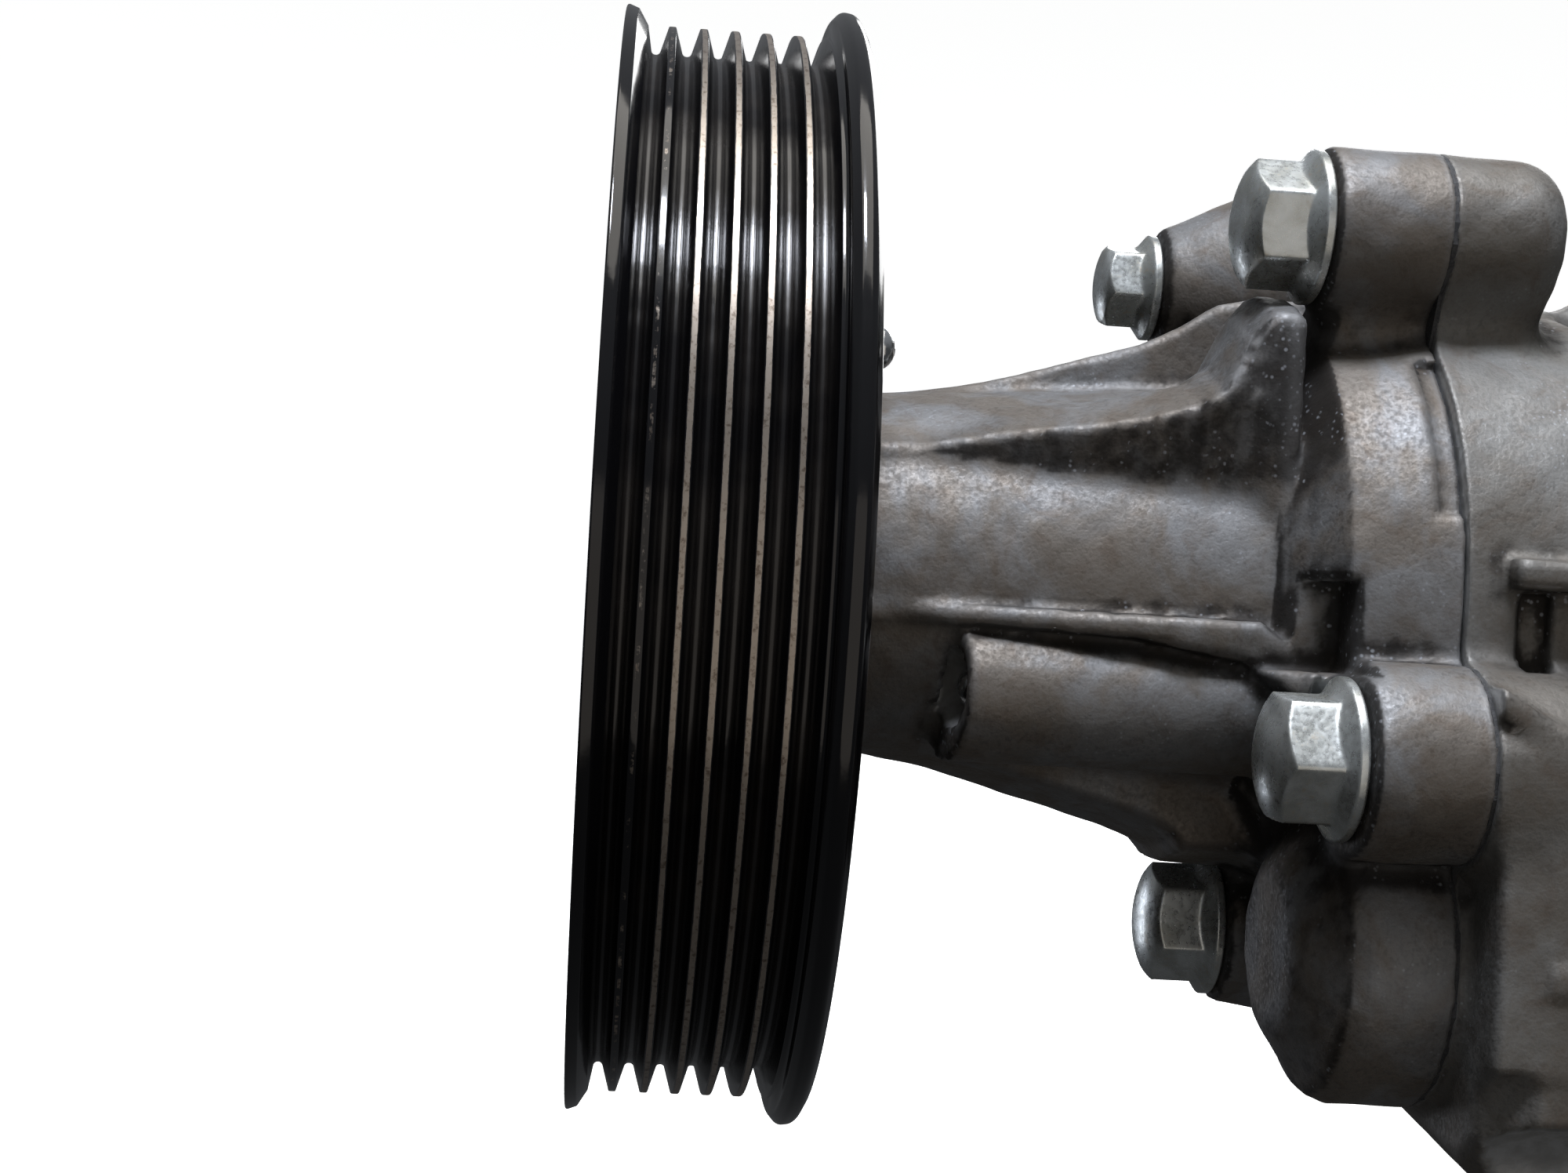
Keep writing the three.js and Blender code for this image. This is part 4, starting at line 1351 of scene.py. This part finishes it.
@dataclass
class Pulley:
    """Poly-V pulley spun from one steel sheet, open side forward."""

    pitch: float = 3.56
    grooves: int = 6
    first: float = -130.0        # where the first groove starts
    crest: float = 62.2
    floor: float = 59.0
    lip: float = 64.5
    rear: float = 65.2
    skin: float = 56.8
    web: float = -105.1
    sheet: float = 2.5
    plate: float = -114.2        # rear face of the centre plate
    pilot: float = 11.3
    wear: tuple[float, ...] = (0.3, 0.52, 0.94, 1.0, 1.0, 0.94, 0.25)
    around: int = 320

    def outline(self) -> tuple[Array, Array]:
        """Section from the inner skin over the grooves and back, with its crest wear.

        Returns:
            (n, 2) points (x, radius), and how far the belt has worn each of them.
        """
        corners = [
            (self.first - 0.6, self.skin, 0), (self.first - 1.6, self.lip - 1.0, 0.6),
            (self.first - 1.6, self.lip, 0.25), (self.first - 0.3, self.lip - 0.5, 0.3),
        ]
        for i in range(self.grooves):
            x = self.first + i * self.pitch
            start = 0.5 if i else 0.9
            corners += [
                (x + start - 0.1, self.crest, 0.14), (x + self.pitch / 2 - 0.42, self.floor, 0.5),
                (x + self.pitch / 2 + 0.42, self.floor, 0.5), (x + self.pitch - 0.4, self.crest, 0.14),
                (x + self.pitch - 0.15, self.crest + 0.02, 0),
                (x + self.pitch + 0.15, self.crest + 0.02, 0),
            ]
        end = self.first + self.grooves * self.pitch
        corners += [
            (end + 0.3, self.rear - 1.0, 0.6), (end + 1.2, self.rear, 0.8),
            (self.web - 0.9, self.rear - 0.2, 1.2), (self.web, self.rear - 1.9, 1.1),
            (self.web, 40, 3), (self.plate, 29, 3), (self.plate, self.pilot, 0.4),
            (self.plate - self.sheet, self.pilot, 0.4), (self.plate - self.sheet, 27.6, 3),
            (self.web - self.sheet, 38.6, 3), (self.web - self.sheet, self.skin - 0.4, 2.5),
            (self.web - self.sheet - 2, self.skin, 0.8), (self.first - 0.6, self.skin, 0),
        ]
        section = rounded(corners, 6)
        crests = self.first + self.pitch * np.arange(self.grooves + 1)
        near = np.abs(section[:, :1] - crests)
        which = near.argmin(axis=1)
        worn = np.clip(1.6 - near.min(axis=1) / 0.28, 0, 1) * np.array(self.wear)[which]
        worn *= (section[:, 1] > self.crest - 0.5) & (section[:, 0] < end + 0.4)
        return section, worn

    def build(self) -> None:
        """Makes the pulley: its outline turned about x, with the marks worn and dust."""
        section, worn = self.outline()
        points = turned_points(section, self.around)
        angle = np.linspace(0, 2 * np.pi, self.around, endpoint=False)
        runout = 0.12 * np.sin(2 * angle + 0.6)
        lipped = np.clip((self.first - 0.2 - section[:, :1]) / 1.2, 0, 1) * (section[:, 1:] > 60)
        points[..., 0] += lipped * runout * 0.6
        wear = worn[:, None] * (1 + 0.06 * np.sin(7 * angle + 1.0) * np.sin(3 * angle))
        inner = np.clip((self.floor + 1.2 - section[:, 1:]) / 2.2, 0, 1) * np.ones_like(angle)
        piece = grid_surface("belt_pulley", points, {"worn": wear, "dust": inner})
        dress(piece, Finish.PULLEY, Label("pulley", "pulley_coat", "rotor"))


def turned_piece(name: str, corners: list[tuple[float, float, float]], finish: Finish, label: Label,
                 around: int = 96, y: float = 0.0, z: float = 0.0) -> None:
    """Makes a piece by carrying a rounded outline round an axis parallel to x.

    Args:
        name: the piece's name.
        corners: (x, radius, rounding) of the outline's corners.
        finish: its surface.
        label: what the frame must know.
        around: columns round the axis.
        y: place of the axis.
        z: place of the axis.
    """
    dress(grid_surface(name, turned_points(rounded(corners, 6), around, y, z)), finish, label)


@dataclass
class Rotor:
    """The pulley and what turns with it at the front: rivet, hub, shaft and four bolts."""

    pulley: Pulley = field(default_factory=Pulley)

    def build(self) -> None:
        """Makes and dresses the rotor's visible pieces."""
        self.pulley.build()
        self.rivet()
        self.hub()
        self.shaft()
        for number in range(1, 5):
            self.pulley_bolt(number)

    def rivet(self) -> None:
        """The balance rivet: a polished dome on the web's rear face."""
        middle = node_centre("balance_rivet")
        low, high = node_box("balance_rivet")
        dome = self.pulley.web + GAP * 0.2
        swing = np.linspace(0, np.pi / 2, 7)[::-1]
        corners = [
            (low.x, 0, 0), (low.x, 1.8, 0.3), (low.x + 0.8, 1.8, 0), (low.x + 0.8, 1.3, 0),
            (dome, 1.3, 0), (dome, 2.2, 0)]
        corners += [(dome + 0.3 + (high.x - dome - 0.3) * math.cos(s), 2.2 * math.sin(s), 0) for s in swing]
        label = Label("balance_rivet", "bright_rivet", "rotor")
        turned_piece("balance_rivet_head", corners, Finish.RIVET, label, 40, middle.y, middle.z)

    def hub(self) -> None:
        """The drive hub: a turned disc with a pilot nose and a collar."""
        low, high = node_box("drive_hub")
        bore = node_box("shaft")[1].z + 0.02
        face = low.x + 4
        turned_piece("hub_turned", [
            (low.x, bore, 0), (low.x, 10.4, 0.6), (face - 3.2, 11, 0.3), (face - 0.05, 11, 0.1),
            (face, 27, 0.5), (face + 5, 27, 0.5), (face + 5, 14, 1.0), (high.x, 12.5, 0.6),
            (high.x, bore, 0.3), (low.x, bore, 0),
        ], Finish.HUB, Label("drive_hub", "machined_steel", "rotor"))

    def shaft(self) -> None:
        """The ground shaft, with chamfered ends and a centre-drilled front end."""
        low, high = node_box("shaft")
        reach = high.z
        turned_piece("shaft_ground", [
            (low.x + 3.2, 0, 0), (low.x + 1.4, 1.0, 0), (low.x, 2.6, 0.1), (low.x, reach - 0.8, 0.2),
            (low.x + 0.8, reach, 0.2), (high.x - 0.8, reach, 0.2), (high.x, reach - 0.8, 0.2),
            (high.x, 0, 0),
        ], Finish.GROUND, Label("shaft", "ground_steel", "rotor"))

    def pulley_bolt(self, number: int) -> None:
        """One of the four bolts that hold the pulley to its hub.

        Args:
            number: which bolt, from 1.
        """
        node = f"pulley_bolt_{number}"
        low, high = node_box(node)
        middle = node_centre(node)
        under = low.x + M6.head + M6.dome
        points = M6.points(under, high.x - under, middle.y, middle.z, math.radians(15 * (number - 1)))
        screw = grid_surface(f"pulley_screw_{number}", points)
        dress(screw, Finish.ZINC, Label(node, "zinc_plate", "rotor"))


# ---------------------------------------------------------------- tube and small parts

@dataclass
class InletTube:
    """Plated steel stub with a rolled bead that holds a hose."""

    wall: float = 2.0
    bead: float = 1.2
    bead_back: float = 6.4

    def build(self) -> None:
        """Makes the tube: its outline turned about an axis parallel to y."""
        low, high = node_box("inlet_tube")
        middle = node_centre("inlet_tube")
        reach = (high.z - low.z) / 2 - self.bead
        inner = reach - self.wall
        ridge = high.y - self.bead_back
        section = rounded([
            (low.y, inner, 0), (low.y, reach, 0.3), (ridge - 2.2, reach, 0.8),
            (ridge, reach + self.bead * 1.25, 1.0), (ridge + 2.2, reach, 0.8), (high.y, reach, 0.7),
            (high.y, inner, 0.7), (ridge, inner + 0.3, 3), (low.y, inner, 0),
        ], 6)
        points = turned_points(section, 128)[..., [1, 0, 2]]
        points += np.array([middle.x, 0, middle.z])
        dress(grid_surface("inlet_stub", points), Finish.TUBE, Label("inlet_tube", "tube_steel"))


def outlet_ring() -> None:
    """The outlet's O-ring: a small circle carried round the port."""
    low, high = node_box("outlet_o_ring")
    middle = node_centre("outlet_o_ring")
    outer = (high.z - low.z) / 2
    cord = 1.1
    turn = np.linspace(0, 2 * np.pi, 25)
    section = np.stack([
        middle.x + cord * 0.77 * np.cos(turn), outer - cord + cord * np.sin(turn)], axis=1)
    points = turned_points(section, 128, middle.y, middle.z)
    dress(grid_surface("outlet_seal_ring", points), Finish.RUBBER, Label("outlet_o_ring", "seal_rubber"))


def weep_ball() -> None:
    """The bright ball pressed into the weep passage."""
    middle = node_centre("weep_plug")
    reach = 2.68
    swing = np.linspace(0, np.pi, 25)
    section = np.stack([middle.x - reach * np.cos(swing), reach * np.sin(swing)], axis=1)
    points = turned_points(section, 48, middle.y, middle.z)
    dress(grid_surface("weep_ball", points), Finish.RIVET, Label("weep_plug", "bright_rivet"))


CARRIED_OVER = {
    "bearing_ring": Finish.GROUND, "bearing_seal_front": Finish.RUBBER,
    "bearing_seal_rear": Finish.RUBBER, "ball_row": Finish.CAGE, "roller_row": Finish.CAGE,
    "slinger": Finish.RUBBER, "seal_cup": Finish.BRASS, "seal_bellows": Finish.RUBBER,
    "seal_carbon_ring": Finish.CARBON, "seal_seat": Finish.CERAMIC, "joint_gasket": Finish.GASKET,
    "locating_dowel_1": Finish.GROUND, "locating_dowel_2": Finish.GROUND, "impeller": Finish.IMPELLER,
}


def dress_inner_parts() -> None:
    """Gives each CAD node that stays its finish."""
    for node, finish in CARRIED_OVER.items():
        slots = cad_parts[node].material_slots
        for slot in slots:
            slot.material = finish.material()
        LOG.info("%s: %s", node, finish.value.name)


# ---------------------------------------------------------------- studio

@dataclass
class Studio:
    """Pale sweep, an overhead strip light with soft fill, and the camera."""

    place: tuple[float, float, float] = (-127.057, -267.778, -5.044)
    turn_right: float = 3.814
    tilt_up: float = 0.608
    roll: float = 3.24
    lens: float = 51.14
    paper: str = "#f6f6f5"
    sweep: float = 2600.0

    def build(self) -> None:
        """Sets the camera, the floor, the lamps and the world."""
        self.camera()
        self.floor()
        self.lamps()
        self.world()

    def camera(self) -> None:
        """Places the camera by its place, heading, tilt and roll."""
        lens = bpy.data.cameras.new("camera")
        lens.lens = self.lens
        lens.clip_start = 0.01
        lens.clip_end = 50
        camera = bpy.data.objects.new("camera", lens)
        bpy.context.scene.collection.objects.link(camera)
        turn = (
            Matrix.Rotation(math.radians(-self.turn_right), 4, "Z")
            @ Matrix.Rotation(math.radians(90 + self.tilt_up), 4, "X")
            @ Matrix.Rotation(math.radians(self.roll), 4, "Z")
        )
        camera.matrix_world = Matrix.Translation(Vector(self.place) * MM) @ turn
        bpy.context.scene.camera = camera

    def floor(self) -> None:
        """A round floor that curves up into a wall: a flat disc, then a quarter circle."""
        base = CAD_BOX[0].z / MM - 0.5
        curve = self.sweep * 0.4
        swing = np.linspace(0, np.pi / 2, 17)
        out = np.concatenate([[0, 40, 300], self.sweep - curve + curve * np.sin(swing), [self.sweep]])
        up = np.concatenate([[0, 0, 0], curve * (1 - np.cos(swing)), [self.sweep * 1.2]])
        angle = np.linspace(0, 2 * np.pi, 96, endpoint=False)
        points = np.stack([
            out[:, None] * np.cos(angle) - 60, out[:, None] * np.sin(angle),
            np.broadcast_to(base + up[:, None], (len(out), 96)),
        ], axis=-1)
        sweep = grid_surface("studio_sweep", points)
        paint = Paint(bpy.data.materials.new("paper_backdrop"))
        shader = paint.add("BsdfPrincipled", {
            "Base Color": linear(self.paper), "Roughness": 0.9, "Emission Color": linear(self.paper),
            "Emission Strength": 0.9,
        })
        paint.add("OutputMaterial", {"Surface": shader})
        sweep.data.materials.append(paint.owner)
        sweep.visible_glossy = sweep.visible_diffuse = sweep.visible_shadow = False

    def lamp(self, name: str, place: tuple, size: tuple, watts: float, target: tuple, colour: str) -> None:
        """Adds a rectangular lamp that faces a point.

        Args:
            name: the lamp's name.
            place: its middle.
            size: its width and depth.
            watts: its power.
            target: the point that it faces.
            colour: its light.
        """
        light = bpy.data.lights.new(name, "AREA")
        light.shape = "RECTANGLE"
        light.size, light.size_y = size[0] * MM, size[1] * MM
        light.energy = watts
        light.color = linear(colour)[:3]
        lamp = bpy.data.objects.new(name, light)
        bpy.context.scene.collection.objects.link(lamp)
        aim = (Vector(target) - Vector(place)).to_track_quat("-Z", "Y")
        lamp.matrix_world = Matrix.Translation(Vector(place) * MM) @ aim.to_matrix().to_4x4()

    def lamps(self) -> None:
        """A strip and a soft panel overhead, a front fill, a glint and a fill from behind."""
        self.lamp("overhead_strip", (-90, -280, 690), (260, 130), 7.5, (-90, -30, 0), "#eef3ff")
        self.lamp("soft_panel", (-60, -160, 820), (900, 700), 4.6, (-70, 0, 0), "#fffaf2")
        self.lamp("front_fill", (150, -900, -200), (1500, 900), 2.0, (-50, -30, -10), "#fff4e8")
        self.lamp("left_glint", (-400, 560, -90), (170, 240), 0.42, (-60, -20, -10), "#eef3ff")
        self.lamp("back_fill", (330, 700, 320), (600, 400), 3.5, (-40, 0, 0), "#ffffff")

    def world(self) -> None:
        """Dim surroundings, lighter overhead; the camera alone sees pale paper."""
        world = bpy.data.worlds.new("studio")
        bpy.context.scene.world = world
        paint = Paint(world)
        way = paint.add("TexCoord").outputs["Generated"]
        up = paint.add("SeparateXYZ", {"Vector": way}).outputs["Z"]
        lift = paint.add("MapRange", dict(enumerate((up, -0.1, 0.9, 0.06, 0.30))))
        glow = paint.add("Background", {"Color": linear("#eef2f8"), "Strength": lift})
        paper = paint.add("Background", {"Color": linear(self.paper), "Strength": 1.0})
        seen = paint.add("LightPath").outputs["Is Camera Ray"]
        both = paint.add("MixShader", {0: seen, 1: glow, 2: paper})
        paint.add("OutputWorld", {"Surface": both})
        bpy.context.scene.view_settings.view_transform = "Standard"


def main() -> None:
    """Builds the pump's sub-assemblies in order, then the studio, and notes the sizes."""
    logging.basicConfig(level=logging.INFO, format="%(message)s")
    front = BearingHousing().build("front_casting")
    dress(front, Finish.FRONT_CASTING, Label("bearing_housing", "front_casting"))
    rear = PumpBody(step=0.85).build("rear_casting")
    dress(rear, Finish.REAR_CASTING, Label("pump_body", "rear_casting"))
    for bolt in HOUSING_BOLTS:
        bolt.build()
    Rotor().build()
    InletTube().build()
    outlet_ring()
    weep_ball()
    dress_inner_parts()
    Studio().build()


if __name__ == "__main__":
    main()
